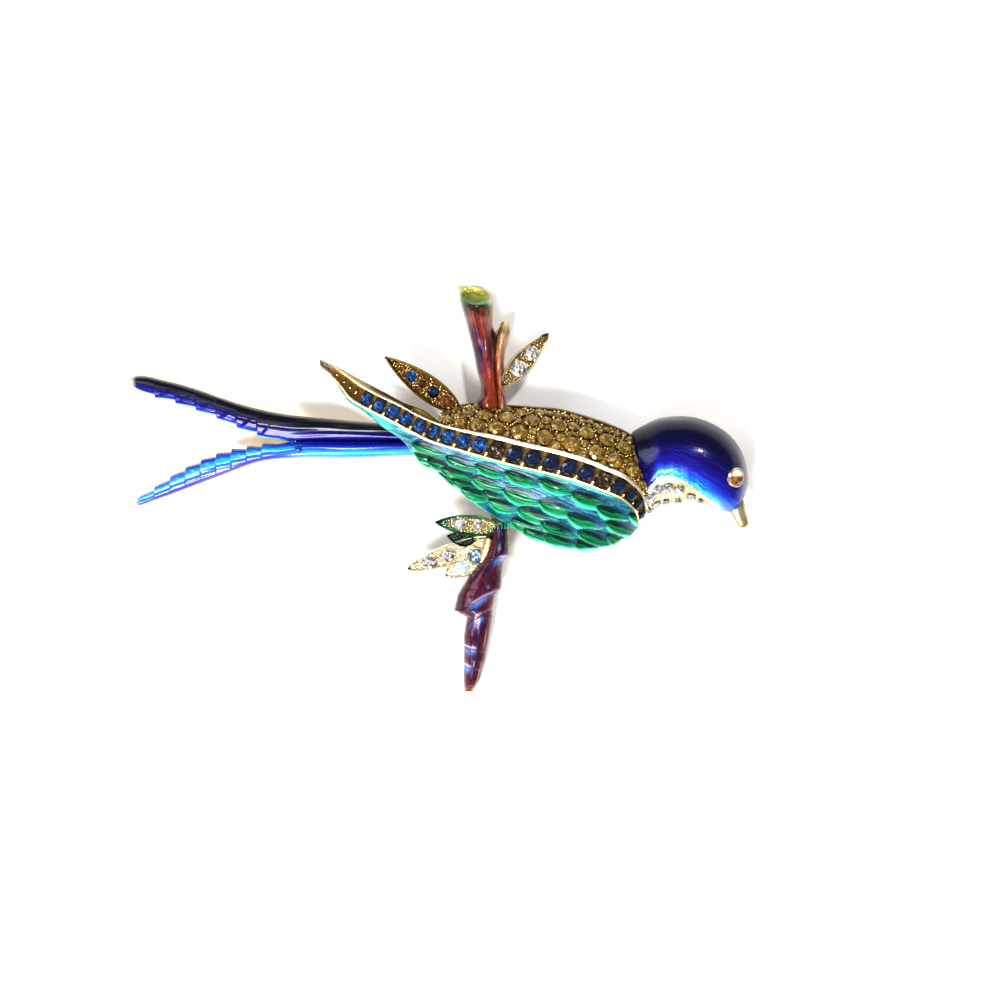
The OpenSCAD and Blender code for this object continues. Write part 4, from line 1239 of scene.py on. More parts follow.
@dataclass
class Maker:
    """Turns shapes into pieces of the brooch."""

    plan: Plan
    finishes: dict[str, bpy.types.Material] = field(default_factory=dict)

    def finish(self, kind: Finish) -> bpy.types.Material:
        """The material of a finish, made once."""
        if kind.name not in self.finishes:
            self.finishes[kind.name] = kind.made()
        return self.finishes[kind.name]

    def put(self, name: str, shape: Shape, kind: Finish, slot: Slot, nodes: list[str], angle: float) -> None:
        """Makes a piece.

        Args:
            name: the piece's name.
            shape: its mesh in millimetres.
            kind: its finish.
            slot: the record's slot; not used.
            nodes: the solids that it stands for.
            angle: edges sharper than this many degrees stay sharp.
        """
        mesh = bpy.data.meshes.new(name)
        corners = [row for f in shape.faces for row in f.tolist()]
        mesh.from_pydata(((shape.points + self.plan.centre) * MM).tolist(), [], corners)
        for domain, numbers in (("POINT", shape.notes), ("FACE", shape.tones)):
            for label, values in numbers.items():
                layer = mesh.attributes.new(label, "FLOAT", domain)
                layer.data.foreach_set("value", values.astype(np.float32))
        mesh.shade_smooth()
        mesh.set_sharp_from_angle(angle=math.radians(angle))
        mesh.materials.append(self.finish(kind))
        piece = placed(name, mesh)
        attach(piece, "root")
        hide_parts(*nodes)
        mesh.calc_loop_triangles()
        LOG.info("%s: %d triangles, volume %.1f mm3", name, len(mesh.loop_triangles), shape.volume() / 6)

    def cast(self, name: str, shape: Shape, kind: Finish = GOLD, angle: float = 38.0) -> None:
        """Makes a piece of the casting."""
        self.put(name, shape, kind, Slot.GOLD, ["casting"], angle)

    def set_stones(
        self, name: str, seats: Seats, seed: int, gem: Gem, nodes: list[str], crown: float = 0.2
    ) -> None:
        """Sets cut stones of one kind on their seats."""
        stones = seats.set(cut_stone(crown=crown), seed, "facet")
        self.put(name, stones, gem, gem.slot, nodes, 5)


# The near wing
class Band(IntEnum):
    """Bands of the wing's profile from its outer wall to its hem, each with the same number of points."""

    SIDE = 0
    UPPER_RIM = 1
    CHANNEL = 2
    LOWER_RIM = 3
    FLOOR = 4


@dataclass
class Wing:
    """The near wing: a channelled rail of stones over a slope of feather scales."""

    maker: Maker
    rows: int = 260
    feather_l: float = 5.3
    feather_w: float = 2.1
    feather_h: float = 0.7
    feather_turn: float = -15.0
    channel: float = 0.42
    # tip x, y (shares of the wing) and size of each scale, row by row from the rail down
    FEATHERS = shares(
        (714, 556, 1100), (610, 483, 950), (518, 447, 900), (428, 407, 1000), (326, 367, 1000),
        (228, 300, 1100), (150, 226, 950), (624, 427, 1050), (532, 379, 1000), (435, 316, 1150),
        (327, 258, 1100), (239, 187, 1000), (121, 147, 950), (712, 503, 1000), (638, 400, 850),
        (563, 325, 900), (480, 266, 900), (390, 216, 1050), (319, 142, 1050), (206, 97, 1050),
        (119, 78, 800), (411, 162, 900), (371, 108, 850), (312, 82, 1050), (215, 45, 1000),
        (52, 190, 800), (664, 470, 800), (590, 372, 750), (500, 310, 700),
    )
    # sizes of the stones from the wing's tip to the neck (shares of the largest)
    STONES = shares(
        730, 770, 790, 790, 770, 790, 840, 850, 900, *[1000] * 4, 980, 970, 950, 900, 730, 600, 500
    )
    # how many stones from the tip on are bright, and which of the darker ones are brown
    bright: int = 9
    brown: tuple[int, ...] = (9, 15)

    # points in each band of the casting's profile
    POINTS = 7

    def upper_rim(self, s: Array) -> Array:
        """Distance from the rail's middle to the far foot of its upper rim."""
        return self.maker.plan.rail_half(s) + mix(0.03, 0.36, fade(s, 6.8, 9.5))

    def rim(self, first: Array, last: Array, z: Array, high: float) -> list[tuple[Array, Array]]:
        """A round rim across the rail: place and height of points on half an ellipse, last to first."""
        turns = np.linspace(0, np.pi, self.POINTS)
        return [(mix(first, last, 0.5 + 0.5 * np.cos(a)), z + high * np.sin(a) - 0.06) for a in turns]

    def outer_edge(self, s: Array) -> tuple[Array, Array, Array]:
        """The casting's edge along the back.

        Args:
            s: places along the wing.

        Returns:
            Its distance from the rail's middle, its height, and the height of the underside below it.
        """
        p = self.maker.plan
        r = p.row(s)
        reach = np.maximum(np.linalg.norm(p.edge(s) - p.rail(s), axis=1), p.rail_half(s) + p.fit)
        high = p.rim_z + r[:, Column.EDGE_Z] * p.wing_z
        low = mix(p.rim_z, p.hem_top(s) - p.wing_t, np.clip(r[:, Column.FREE], 0, 1))
        return np.maximum(reach, self.upper_rim(s) + 0.04), high, low

    def profile(self, s: Array) -> tuple[Array, Array]:
        """The casting's profile as far as its lower rim: wall and upper side, rim, channel, rim.

        Args:
            s: places along the wing.

        Returns:
            Distances from the rail's middle and heights, a column for each point.
        """
        p = self.maker.plan
        half, z = p.rail_half(s), p.rail_top(s)
        reach, high, low = self.outer_edge(s)
        upper_rim, inner_rim = self.upper_rim(s), half - p.rail_rim
        lower_rim = half + 0.12 * fade(s, 1.0, 4.0)
        floor = z - self.channel * np.clip(p.row(s)[:, Column.STONE] / 0.7, 0, 1)
        columns = [(reach, low + 0.1), (reach, high - 0.28)]
        columns += [(reach - 0.02, high - 0.1), (reach - 0.03, high)]
        for t in (0.3, 0.6, 0.85):
            columns.append((mix(reach - 0.03, upper_rim + 0.02, t), mix(high, z - 0.16, t**1.25)))
        columns += self.rim(inner_rim, upper_rim, z, 0.25)
        for t in (-1.0, -0.94, -0.5, 0.0, 0.5, 0.94, 1.0):
            columns.append((-t * inner_rim, floor - 0.05 * (1 - t * t)))
        columns += self.rim(-lower_rim, -inner_rim, z, 0.2)
        across, height = np.stack(columns, -1)
        return across, height

    def underside(self, s: Array, count: int) -> Array:
        """The casting's underside, which is hollow in the wing's middle and leaves a wall over it.

        Args:
            s: places along the wing.
            count: points across it.

        Returns:
            Points, n by count by 3.
        """
        p = self.maker.plan
        reach, high, low = self.outer_edge(s)
        w = np.linspace(0, 1, count)
        first = p.rail_points(s, reach[:, None], low[:, None])
        last = np.column_stack([p.hem(s), low])[:, None]
        points = mix(first, last, w[None, :, None])
        shoulder = p.rail_top(s)[:, None] - 0.6
        outer = mix(high[:, None], shoulder, w / 0.35)
        inner = mix(shoulder, p.hem_top(s)[:, None], (w - 0.35) / 0.65)
        room = np.maximum(np.where(w < 0.35, outer, inner) - low[:, None] - p.wall, 0)
        hollow = np.clip(s - 8.4, 0, 1) * np.clip(14 - s, 0, 1)
        points[..., 2] += room * np.sin(np.pi * w) ** 0.6 * hollow[:, None]
        return points

    def tones(self, s: Array) -> dict[str, Array]:
        """Where the casting takes patina and painted shade (its channel), bronze (its side wall, and its
        channel as painted shade), silver (its tip) or a pale cream painted highlight (its rims).

        Args:
            s: places along the wing.

        Returns:
            The notes that its finish reads.
        """
        band, place = np.divmod(np.arange(len(Band) * self.POINTS), self.POINTS)
        channel, ridge = band == Band.CHANNEL, (place > 0) & (place < self.POINTS - 1)
        cream = ridge * (1.0 * (band == Band.UPPER_RIM) + 0.8 * (band == Band.LOWER_RIM))
        # The channel's bronze is painted shade, stronger towards the wing's tip.
        wear_and_shade = mix(0.55, 0.9, fade(-s, -4.2, -3.2))[:, None]
        return {
            "recess": 1.0 * channel,
            "bronze": np.where(channel, wear_and_shade, 0.9 * (band == Band.SIDE)),
            "silver": fade(-s, -1.6, -0.4)[:, None],
            "cream": cream * fade(s, 1.5, 5.0)[:, None],
        }

    def casting(self) -> Shape:
        """The wing's metal as one profile carried along the table.

        It runs over the outer wall, the smooth upper side, two round rims with the channel between them
        and the floor under the feathers.

        Returns:
            The casting's shape.
        """
        p = self.maker.plan
        s = np.linspace(0, 17, self.rows)
        floor = p.slope(s, np.array([0.05, 0.1, 0.25, 0.45, 0.65, 0.85, 1.0]), -0.03)
        top = np.concatenate([p.rail_points(s, *self.profile(s)), floor], 1)
        return slab(top, self.underside(s, top.shape[1]), self.tones(s))

    def scales(self, x: Array, y: Array) -> dict[str, Array]:
        """The feather scales over points of the plan.

        Each scale is a blunt tongue along its own axis: half width w = W/2 · sin(pi s^.66)^.85, rank
        (1 - .75 s)(1 - .8 (q/w)^2), s from its tip to its root. The scale of the highest rank wins, and its
        height is a ridge along its lower edge with a hollow above it.

        Args:
            x: the points' x.
            y: the points' y.

        Returns:
            Height, rank, place along the scale, place across it and the scale's number.
        """
        p = self.maker.plan
        tips = self.FEATHERS * [-p.wing_l, p.wing_h, 1.0]
        tip_x, tip_y, size = (column[:, None, None] for column in tips.T)
        a = math.radians(self.feather_turn)
        dx, dy = x[None] - tip_x, y[None] - tip_y
        along = dx * math.cos(a) + dy * math.sin(a)
        side = dy * math.cos(a) - dx * math.sin(a)
        s = np.clip(along / (self.feather_l * size), 0, 1)
        w = np.maximum(size * self.feather_w / 2 * np.maximum(np.sin(np.pi * s**0.66), 0) ** 0.85, 1e-4)
        q = (side + 0.3 * np.sin(np.pi * s)) / w
        covered = (along > 0) & (along < self.feather_l * size) & (np.abs(q) < 1)
        rank = np.where(covered, (1 - 0.75 * s) * (1 - 0.8 * q**2), 0)
        best = np.argmax(rank, axis=0)
        s, q, rank = (np.take_along_axis(values, best[None], 0)[0] for values in (s, q, rank))
        q = np.clip(q, -1, 1)
        lump, hollow = np.exp(-(((q + 0.5) / 0.42) ** 2)), np.exp(-(((q - 0.4) / 0.28) ** 2))
        ridge = 0.75 * lump + 0.3 * (1 - q**2) - 0.2 * hollow
        height = np.maximum(ridge, 0) * (1 - 0.65 * s) * (rank > 0)
        return {"height": height, "rank": rank, "blade": s, "side": q, "which": best / len(tips)}

    def enamel(self) -> Shape:
        """The feathered layer: the slope raised by the scales' relief, with barbs and an overhanging hem.

        Its outline is scalloped where scales end on the feather edge.

        Returns:
            The layer's shape, with the notes that its finish reads.
        """
        p = self.maker.plan
        s, k = np.linspace(1.7, 15.6, 330), np.linspace(0, 1, 104)
        v = mix(0.015, 1.0, k)
        top = p.slope(s, v, p.skin)
        x, y = top[..., 0].copy(), top[..., 1].copy()
        found = self.scales(x, y)
        side, height, blade = found["side"], found["height"], found["blade"]
        border = np.clip(6 * np.sin(np.pi * k), 0, 1)[None]
        scale = fade(found["rank"], 0.01, 0.1)
        barbs = 0.05 * np.cos(side * 4.6 * np.pi) * scale * (1 - blade)
        turn = math.radians(self.feather_turn - 6)
        run = x * math.cos(turn) + y * math.sin(turn)
        lane = y * math.cos(turn) - x * math.sin(turn)
        lines = 0.03 * np.sin(lane * 11 + 1.3 * np.sin(run * 0.9)) * (1 - scale)
        rise = (self.feather_h * height + barbs + lines) * mix(0.55, 1.0, border)
        top[..., 2] += rise - 0.16 * fade(1 - border, 0.2, 1.0)
        top[..., 2] = np.minimum(top[..., 2], p.rail_top(s)[:, None] + 0.4)
        out = unit(p.hem(s) - p.rail(s))[:, None] * (0.34 * height * k[None] ** 6)[..., None]
        top[..., :2] += out
        low = p.slope(s, v, p.fit)
        low[..., :2] += out * 0.8
        # lip marks a painted highlight along each scale's lower lip, hem one along the layer's borders, root
        # the mint near the wing's tip.
        lip = fade(np.clip(-side, 0, 1) * scale, 0.58, 0.88) * (1 - blade) ** 0.5
        hem = fade(-np.minimum(k, 1 - k), -0.045, -0.012)[None] * 0.8
        root = 0.5 * fade(-s, -6.4, -4.5)[:, None] * (1 - scale)
        notes = {
            "run": run,
            "lane": lane,
            "side": side,
            "blade": blade,
            "which": found["which"],
            "gap": 1 - scale,
            "edge": np.maximum(lip, np.maximum(hem, root)),
        }
        return slab(top, low, notes)

    def stones(self) -> Seats:
        """Seats along the rail with equal gaps, leaning a little towards the feathers.

        Returns:
            The seats, from the wing's tip to the neck.
        """
        p = self.maker.plan
        keys = np.linspace(0, 17, 121)
        length = np.concatenate([[0], np.cumsum(np.linalg.norm(np.diff(p.rail(keys), axis=0), axis=1))])
        start, end = np.interp([3.6, 16.75], keys, length)
        size = self.STONES * p.wing_stone_d
        gap = (end - start - size[1:-1].sum() - (size[0] + size[-1]) / 2) / (len(size) - 1)
        walk = start + np.concatenate([[0], np.cumsum((size[:-1] + size[1:]) / 2 + gap)])
        s = np.interp(walk, length, keys)
        middle = p.rail_spots(s, 0.0, 0.0)
        lean = p.rail_spots(s, -1.0, -0.12) - middle
        normal = unit(np.cross(lean, p.rail_spots(s + 0.1, 0.0, 0.0) - p.rail_spots(s - 0.1, 0.0, 0.0)))
        return Seats(middle, normal * np.sign(normal[:, 2:]), size)

    def beads(self, seats: Seats) -> Shape:
        """A bead prong between neighbouring stones, on the feathers' side, and beads in the narrow end.

        Args:
            seats: the stones' seats.

        Returns:
            All beads as one shape.
        """
        a, b = seats.points[:-1], seats.points[1:]
        before, after = seats.sizes[:-1, None], seats.sizes[1:, None]
        reach = np.minimum(before, after)
        side = unit(np.cross(b - a, [0, 0, 1.0]))
        spots = (a * after + b * before) / (after + before) + side * np.sign(-side[:, 1:2]) * reach * 0.43
        spots[:, 2] += 0.07
        narrow = self.maker.plan.rail_spots(np.array([1.5, 2.05, 2.55, 3.0]), 0.0, -0.02)
        points = np.concatenate([spots, narrow])
        sizes = np.concatenate([0.16 * reach[:, 0], [0.12, 0.16, 0.19, 0.22]])
        return Seats(points, np.tile([0, 0, 1.0], (len(points), 1)), sizes).set(bead(2.0), 3)

    def build(self) -> None:
        """Makes the wing's pieces."""
        m = self.maker
        seats = self.stones()
        m.cast("wing_casting", self.casting(), angle=50)
        m.cast("wing_beads", self.beads(seats), CREAM_GOLD)
        plumage = PlumageGreen("plumage_green", 0.25)
        m.put("wing_feathers", self.enamel(), plumage, Slot.GREEN, ["wing_enamel"], 70)
        order = np.arange(len(seats.sizes))
        brown, bright = np.isin(order, self.brown), order < self.bright
        groups = {"bright": (bright, SAPPHIRE), "navy": (~bright & ~brown, NAVY), "brown": (brown, SMOKE)}
        for k, (name, (chosen, gem)) in enumerate(groups.items()):
            nodes = [f"wing_stone_{i + 1:02d}" for i in order[chosen]]
            m.set_stones(f"wing_{name}_stones", seats.chosen(chosen), 11 + k, gem, nodes, 0.18)


# The back
@dataclass
class Back:
    """The crowned back, paved with topaz-coloured stones between gold grains."""

    maker: Maker
    stone_d: float = 2.3
    # place across, first and last place along, stones, size (share)
    stone_rows: tuple[tuple[float, ...], ...] = (
        (0.28, 0.14, 0.88, 9, 0.88), (0.63, 0.27, 0.84, 7, 0.88), (0.85, 0.52, 0.80, 6, 0.4)
    )
    first: float = 0.78

    def casting(self) -> Shape:
        """The bed under the stones with a thin round rim along the outline, over a hollow underside.

        Returns:
            The bed's shape.
        """
        p = self.maker.plan
        s = np.linspace(0, 9, 120)
        rim = [0.93, 0.945, 0.955, 0.965, 0.98, 0.992, 1.0, 1.0, 1.0]
        v = np.concatenate([np.linspace(-0.1, 0.9, 22), rim])
        lift = np.concatenate([np.full(22, -0.3), [-0.3, -0.22, -0.04, 0.06, 0.09, 0.05, -0.06, -0.3, -0.7]])
        top = p.back_points(s, v, lift)
        w = np.linspace(-0.1, 1, len(v))
        low = p.back_points(s, w, -1.0)
        dome = np.clip((s - 2.5) / 1.2, 0, 1) * np.clip(8.2 - s, 0, 1)
        room = np.maximum(low[..., 2] - p.rim_z - p.wall * 0.7, 0)
        hollow = np.interp(w, [-0.1, 0.1, 0.4, 0.7, 0.86, 1], [0, 1, 1, 0.9, 0, 0])
        low[..., 2] = p.rim_z + 0.05 + room * hollow[None] * dome[:, None]
        # The bed inside the rim takes patina and painted shade.
        return slab(top, low, {"recess": np.where(v < 0.94, 0.35, 0.0)})

    def crown(self, s: Array, v: Array) -> tuple[Array, Array]:
        """Points of the crown, one for each pair of places, and the directions that they face.

        Args:
            s: places along the back.
            v: places across it.

        Returns:
            The points and the directions.
        """

        def at(ds: float, dv: float) -> Array:
            """The points moved along and across."""
            return self.maker.plan.back_points(s + ds, (v + dv)[:, None], 0.0)[:, 0]

        return at(0, 0), facing(at, 0.1, 0.03)

    def seats(self) -> Seats:
        """The stones' seats, on the crown's surface and square to it.

        Returns:
            The seats, row by row.
        """
        rows = []
        for place, start, end, count, share in self.stone_rows:
            s = 9 * mix(start, end, np.arange(count) / (count - 1))
            size = self.stone_d * share * mix(self.first, 1, np.clip(s / 3, 0, 1))
            rows.append((*self.crown(s, np.full(count, place)), size))
        return Seats(*(np.concatenate(part) for part in zip(*rows)))

    def grains(self, stones: Seats) -> Shape:
        """Gold grains scattered between the stones, clear of every stone and of each other.

        Args:
            stones: the seats to keep clear of.

        Returns:
            All grains as one shape.
        """
        dice = np.random.default_rng(5)
        spots, n = self.crown(dice.uniform(0.15, 8.75, 2600), dice.uniform(0.03, 0.93, 2600))
        size = np.minimum(dice.uniform(0.1, 0.2, len(spots)), stones.room(spots) + 0.02)
        kept = kept_apart(spots, size, np.flatnonzero(size > 0.085), 0.03)
        return Seats(spots[kept] - n[kept] * 0.04, n[kept], size[kept]).set(bead(1.2), 6)

    def chips(self, stones: Seats) -> Seats:
        """Small stones that fill the gaps, clear of the large ones and of each other, the roomiest first.

        Args:
            stones: the seats to keep clear of.

        Returns:
            The small stones' seats.
        """
        dice = np.random.default_rng(15)
        spots, n = self.crown(dice.uniform(0.25, 8.7, 4000), dice.uniform(0.08, 0.9, 4000))
        size = np.minimum(stones.room(spots) - 0.05, 0.72)
        kept = kept_apart(spots, size, [i for i in np.argsort(-size) if size[i] >= 0.3], 0.06)
        LOG.info("small stones on the back: %d", len(kept))
        return Seats(spots[kept] - n[kept] * 0.05, n[kept], 2 * size[kept])

    def build(self) -> None:
        """Makes the back's pieces."""
        large = self.seats()
        small = self.chips(large)
        every = Seats(
            np.concatenate([large.points, small.points]),
            np.concatenate([large.normals, small.normals]),
            np.concatenate([large.sizes, small.sizes]),
        )
        self.maker.cast("back_casting", self.casting(), BED_GOLD, 50)
        self.maker.cast("back_grains", self.grains(every))
        self.maker.set_stones("back_stones", every, 21, TOPAZ, ["back_pave"])


# The head
@dataclass
class Head:
    """The head: a metal dome under blue enamel, the stone-set throat, the eye and the beak."""

    maker: Maker
    # upper outline x, y; lower outline x, y (shares of the head); crown height; place where the blue ends
    TABLE = shares(
        (-150, 709, -17, 0, 660, 800), (-33, 794, 8, -148, 800, 720), (92, 868, 100, -74, 910, 660),
        (242, 894, 242, -26, 980, 720), (393, 884, 393, -32, 1000, 840), (535, 825, 535, -63, 970, 940),
        (660, 730, 660, -106, 870, 860), (761, 593, 752, -90, 680, 800), (823, 423, 807, 21, 430, 780),
        (850, 264, 846, 170, 180, 780),
    )
    # place along the head's table (in rows), distance below the blue (share of what is left), size
    THROAT = shares(
        (1200, 300, 920), (1300, 780, 750), (1770, 250, 950), (1800, 720, 880), (2450, 300, 950),
        (2450, 800, 880), (3120, 350, 950), (3100, 850, 800), (3780, 500, 920), (4350, 620, 700),
    )
    throat_d: float = 1.25
    eye_d: float = 1.9
    eye_at: tuple[float, float] = (6.62, 95.0)
    foot: float = 0.08
    beak_l: float = 3.3

    def points(self, s: Array, a: Array, grow: Array | float) -> Array:
        """The head's surface: for a row of the table, half an ellipse from the upper to the lower outline.

        Args:
            s: places along the head, n of them.
            a: angles across it in degrees, m of them or n by m.
            grow: distance by which the surface is grown.

        Returns:
            Points, n by m by 3.
        """
        p = self.maker.plan
        r = rows_at(self.TABLE, s)
        scale = np.array([p.head_l, p.head_w])
        t, b = p.neck + r[:, 0:2] * scale, p.neck + r[:, 2:4] * scale
        a = np.broadcast_to(np.radians(a), (len(s), a.shape[-1]))
        grow = np.broadcast_to(grow, a.shape)
        d = unit(t - b)[:, None] * grow[..., None]
        xy = mix(t[:, None] + d, b[:, None] - d, ((1 - np.cos(a)) / 2)[..., None])
        z = p.rim_z + self.foot * p.head_z + ((r[:, 4:5] - self.foot) * p.head_z + grow) * np.sin(a)
        return np.concatenate([xy, z[..., None]], -1)

    def blue_end(self, s: Array) -> Array:
        """The angle at which the blue ends."""
        return np.degrees(np.arccos(1 - 2 * rows_at(self.TABLE, s)[..., 5]))

    def spots(self, s: Array, a: Array, lift: float) -> tuple[Array, Array]:
        """Points of the surface, one for each pair of places, and the directions that they face.

        Args:
            s: places along the head.
            a: angles across it.
            lift: distance over the surface.

        Returns:
            The points and the directions.
        """

        def at(ds: float, da: float) -> Array:
            """The surface's points moved along and across."""
            return self.points(s + ds, (a + da)[:, None], 0.0)[:, 0]

        return self.points(s, a[:, None], lift)[:, 0], facing(at, 0.1, 4)

    def eye_spot(self) -> tuple[Array, Array]:
        """The eye's place and the direction that it faces."""
        return self.spots(np.array(self.eye_at[:1]), np.array(self.eye_at[1:]), 0.0)

    def dome(self) -> Shape:
        """The metal under the enamel, hollow below.

        Returns:
            The dome's shape.
        """
        p = self.maker.plan
        s, a = np.linspace(0, 9, 90), np.linspace(0, 180, 44)
        low = self.points(s, a, -p.skin)
        room = np.maximum(rows_at(self.TABLE, s)[:, 4] * p.head_z - 2 * p.wall, 0)
        hollow = 0.8 * np.clip(s - 1.8, 0, 1)
        low[..., 2] = p.rim_z + 0.1 + (hollow * room)[:, None] * np.sin(np.radians(a)) ** 2
        return slab(self.points(s, a, -p.skin - p.fit / 2), low)

    def blue(self) -> Shape:
        """The enamel: the head's surface from its upper outline to the throat, with a dip round the eye.

        Returns:
            The layer's shape, with the notes that its finish reads.
        """
        p = self.maker.plan
        s, k = np.linspace(0.15, 9, 190), np.linspace(0, 1, 84)
        jag = 1.6 * np.sin(s * 9.0) + 1.1 * np.sin(s * 23.0)
        end = mix(self.blue_end(s) + jag, 178.0, fade(s, 4.9, 5.9))
        a = mix(1.0, end[:, None], k[None])
        near = inside(k, 0.05, 0.04)[None] * fade(s, 0.15, 0.4)[:, None]
        chin = 0.3 * fade(s, 5.0, 6.6)[:, None] * fade(a, 120, 176)
        top = self.points(s, a, chin - 0.2 * (1 - near))
        away = np.linalg.norm(top - self.eye_spot()[0][0], axis=2)
        top[..., 2] -= 0.12 * (1 - fade(away, 1.15, 1.6))
        cheek = 0.16 * fade(s, 5.2, 8.0)[:, None] * fade(a, 95, 140)
        across = np.clip(swept(a) / swept(end)[:, None] - cheek, 0, 1)
        return slab(top, self.points(s, a, -p.enamel_t - 0.02), {"across": across, "along": (s / 9)[:, None]})

    def throat_bed(self) -> Shape:
        """The pale bed under the throat's stones, from the blue's border to the lower outline.

        Returns:
            The bed's shape.
        """
        s, k = np.linspace(0.55, 5.0, 70), np.linspace(0, 1, 26)
        a = mix((self.blue_end(s) - 2)[:, None], 178.0, k[None])
        top = self.points(s, a, -0.42 + 0.3 * np.sin(np.pi * k) ** 0.35)
        # The bed takes a little patina and painted shade.
        return slab(top, self.points(s, a, -0.85), {"recess": np.array(0.1)})

    def throat_seats(self) -> Seats:
        """The throat's stones.

        Returns:
            The seats.
        """
        s, down, size = self.THROAT.T
        spots, normals = self.spots(s, mix(self.blue_end(s), 172.0, down), self.maker.plan.fit)
        return Seats(spots, normals, self.throat_d * 1.12 * size)

    def throat_grains(self, stones: Seats) -> Shape:
        """Pale grains between the throat's stones.

        Args:
            stones: the seats to keep clear of.

        Returns:
            All grains as one shape.
        """
        dice = np.random.default_rng(8)
        s, k = dice.uniform(0.7, 4.9, 900), dice.uniform(0.03, 0.99, 900)
        spots, n = self.spots(s, mix(self.blue_end(s), 174.0, k), -0.1)
        size = np.minimum(dice.uniform(0.08, 0.15, len(s)), stones.room(spots))
        kept = kept_apart(spots, size, np.flatnonzero(size > 0.06), 0.04)
        return Seats(spots[kept], n[kept], size[kept]).set(bead(1.0), 9)

    def eye(self) -> tuple[Shape, Shape]:
        """The bezel, a ring with a rounded lip turned round the eye's axis, and the stone in it.

        Returns:
            The bezel and the stone.
        """
        spot, normal = self.eye_spot()
        lip = ((-0.02, 0.16), (0.05, 0.25), (0.13, 0.27), (0.22, 0.22), (0.27, 0.1), (0.27, -1.0))
        wall = [(self.eye_d / 2 + out, z) for out, z in ((-0.02, -0.3), *lip)]
        ring = np.array([(0, -0.3), *wall, (0, -1.0)])
        bezel = Seats(spot, normal, np.ones(1)).set(turned(ring, 48), 1)
        seat = Seats(spot + normal * 0.2, normal, np.array([self.eye_d]))
        stone = seat.set(cut_stone(crown=0.26), 31, "facet")
        # rise places the painted white reflection on the stone's upper part.
        stone.notes["rise"] = (stone.points[:, 1] - spot[0, 1]) / self.eye_d + 0.5
        return bezel, stone

    def beak(self) -> Shape:
        """A blunt flattened wedge, r = 1.12 - .42 t with an elliptic end, and the dark ridge along it.

        Returns:
            Both as one shape.
        """
        p = self.maker.plan
        root = p.neck + np.array([0.775 * p.head_l - 0.55, -0.02 * p.head_w - 0.15])
        a = math.radians(-68)
        way, side = np.array([math.cos(a), math.sin(a)]), np.array([-math.sin(a), math.cos(a)])
        t = np.concatenate([np.linspace(-0.1, 0.8, 20), 0.8 + 0.2 * np.sin(np.linspace(0.1, 1.5, 12))])
        z = p.rim_z + mix(1.35, 0.85, np.clip(t, 0, 1) ** 1.4)
        radius = (1.12 - 0.42 * t) * np.sqrt(np.clip(1 - (np.clip(t - 0.8, 0, 1) / 0.2) ** 2, 0.01, 1))
        body = tube(np.column_stack([root + way * (t * self.beak_l)[:, None], z]), radius, 30, flat=0.7)
        k = np.linspace(0.1, 0.74, 18)
        share = (k - 0.1) / 0.64
        bow = 0.68 - 0.2 * k + 0.12 * np.sin(np.pi * share)
        line = root + way * (k * self.beak_l)[:, None] + side * bow[:, None]
        thin = 0.17 * np.sin(np.pi * mix(0.15, 0.95, share))
        ridge = tube(np.column_stack([line, p.rim_z + mix(1.55, 1.15, k)]), thin, 12)
        # The ridge is bronze with patina and painted shade, and the beak darkens with patina and painted
        # shade towards its root, where it meets the head.
        ridge.notes["bronze"] = np.ones(len(ridge.points))
        ridge.notes["recess"] = np.full(len(ridge.points), 0.6)
        body.notes["recess"] = 0.75 * (1 - fade(body.notes["along"], 0.1, 0.42))
        return Shape.joined([body, ridge])

    def build(self) -> None:
        """Makes the head's pieces."""
        m = self.maker
        seats = self.throat_seats()
        bezel, eye = self.eye()
        m.cast("head_casting", self.dome(), angle=50)
        finish = HeadBlue("head_blue", 0.15, 0.15, 0.25)
        m.put("head_blue", self.blue(), finish, Slot.BLUE, ["head_enamel"], 60)
        m.cast("throat_casting", self.throat_bed(), THROAT_BED, 60)
        m.cast("throat_grains", self.throat_grains(seats), CREAM_GOLD)
        m.set_stones("throat_stones", seats, 41, CRYSTAL, ["throat_pave"])
        m.cast("eye_bezel", bezel, SILVER_GOLD)
        m.put("eye_gem", eye, AMBER, Slot.AMBER, ["eye_stone"], 5)
        m.cast("beak", self.beak(), BEAK_GOLD, 60)


# The tail
@dataclass
class Prong:
    """One prong of the tail: a roofed blade with barbs along its inner edge."""

    name: str
    slot: Slot
    finish: TailBlue
    barbs: int
    inner: int
    end: float
    lap: float
    # place along, upper and lower edge (shares of the tail)
    table: Array

    def saw(self, x: Array, shift: Array | float = 0.0) -> Array:
        """The barbs' phase: a saw's teeth along the prong, 0 outside them.

        Args:
            x: places along the prong.
            shift: teeth added.

        Returns:
            The phase, from 0 to 1 in each tooth.
        """
        first, last = 0.45, 0.9
        k = (x - first) / (last - first) * self.barbs + shift
        return np.where((x < first) | (x > last), 0, k - np.floor(k))


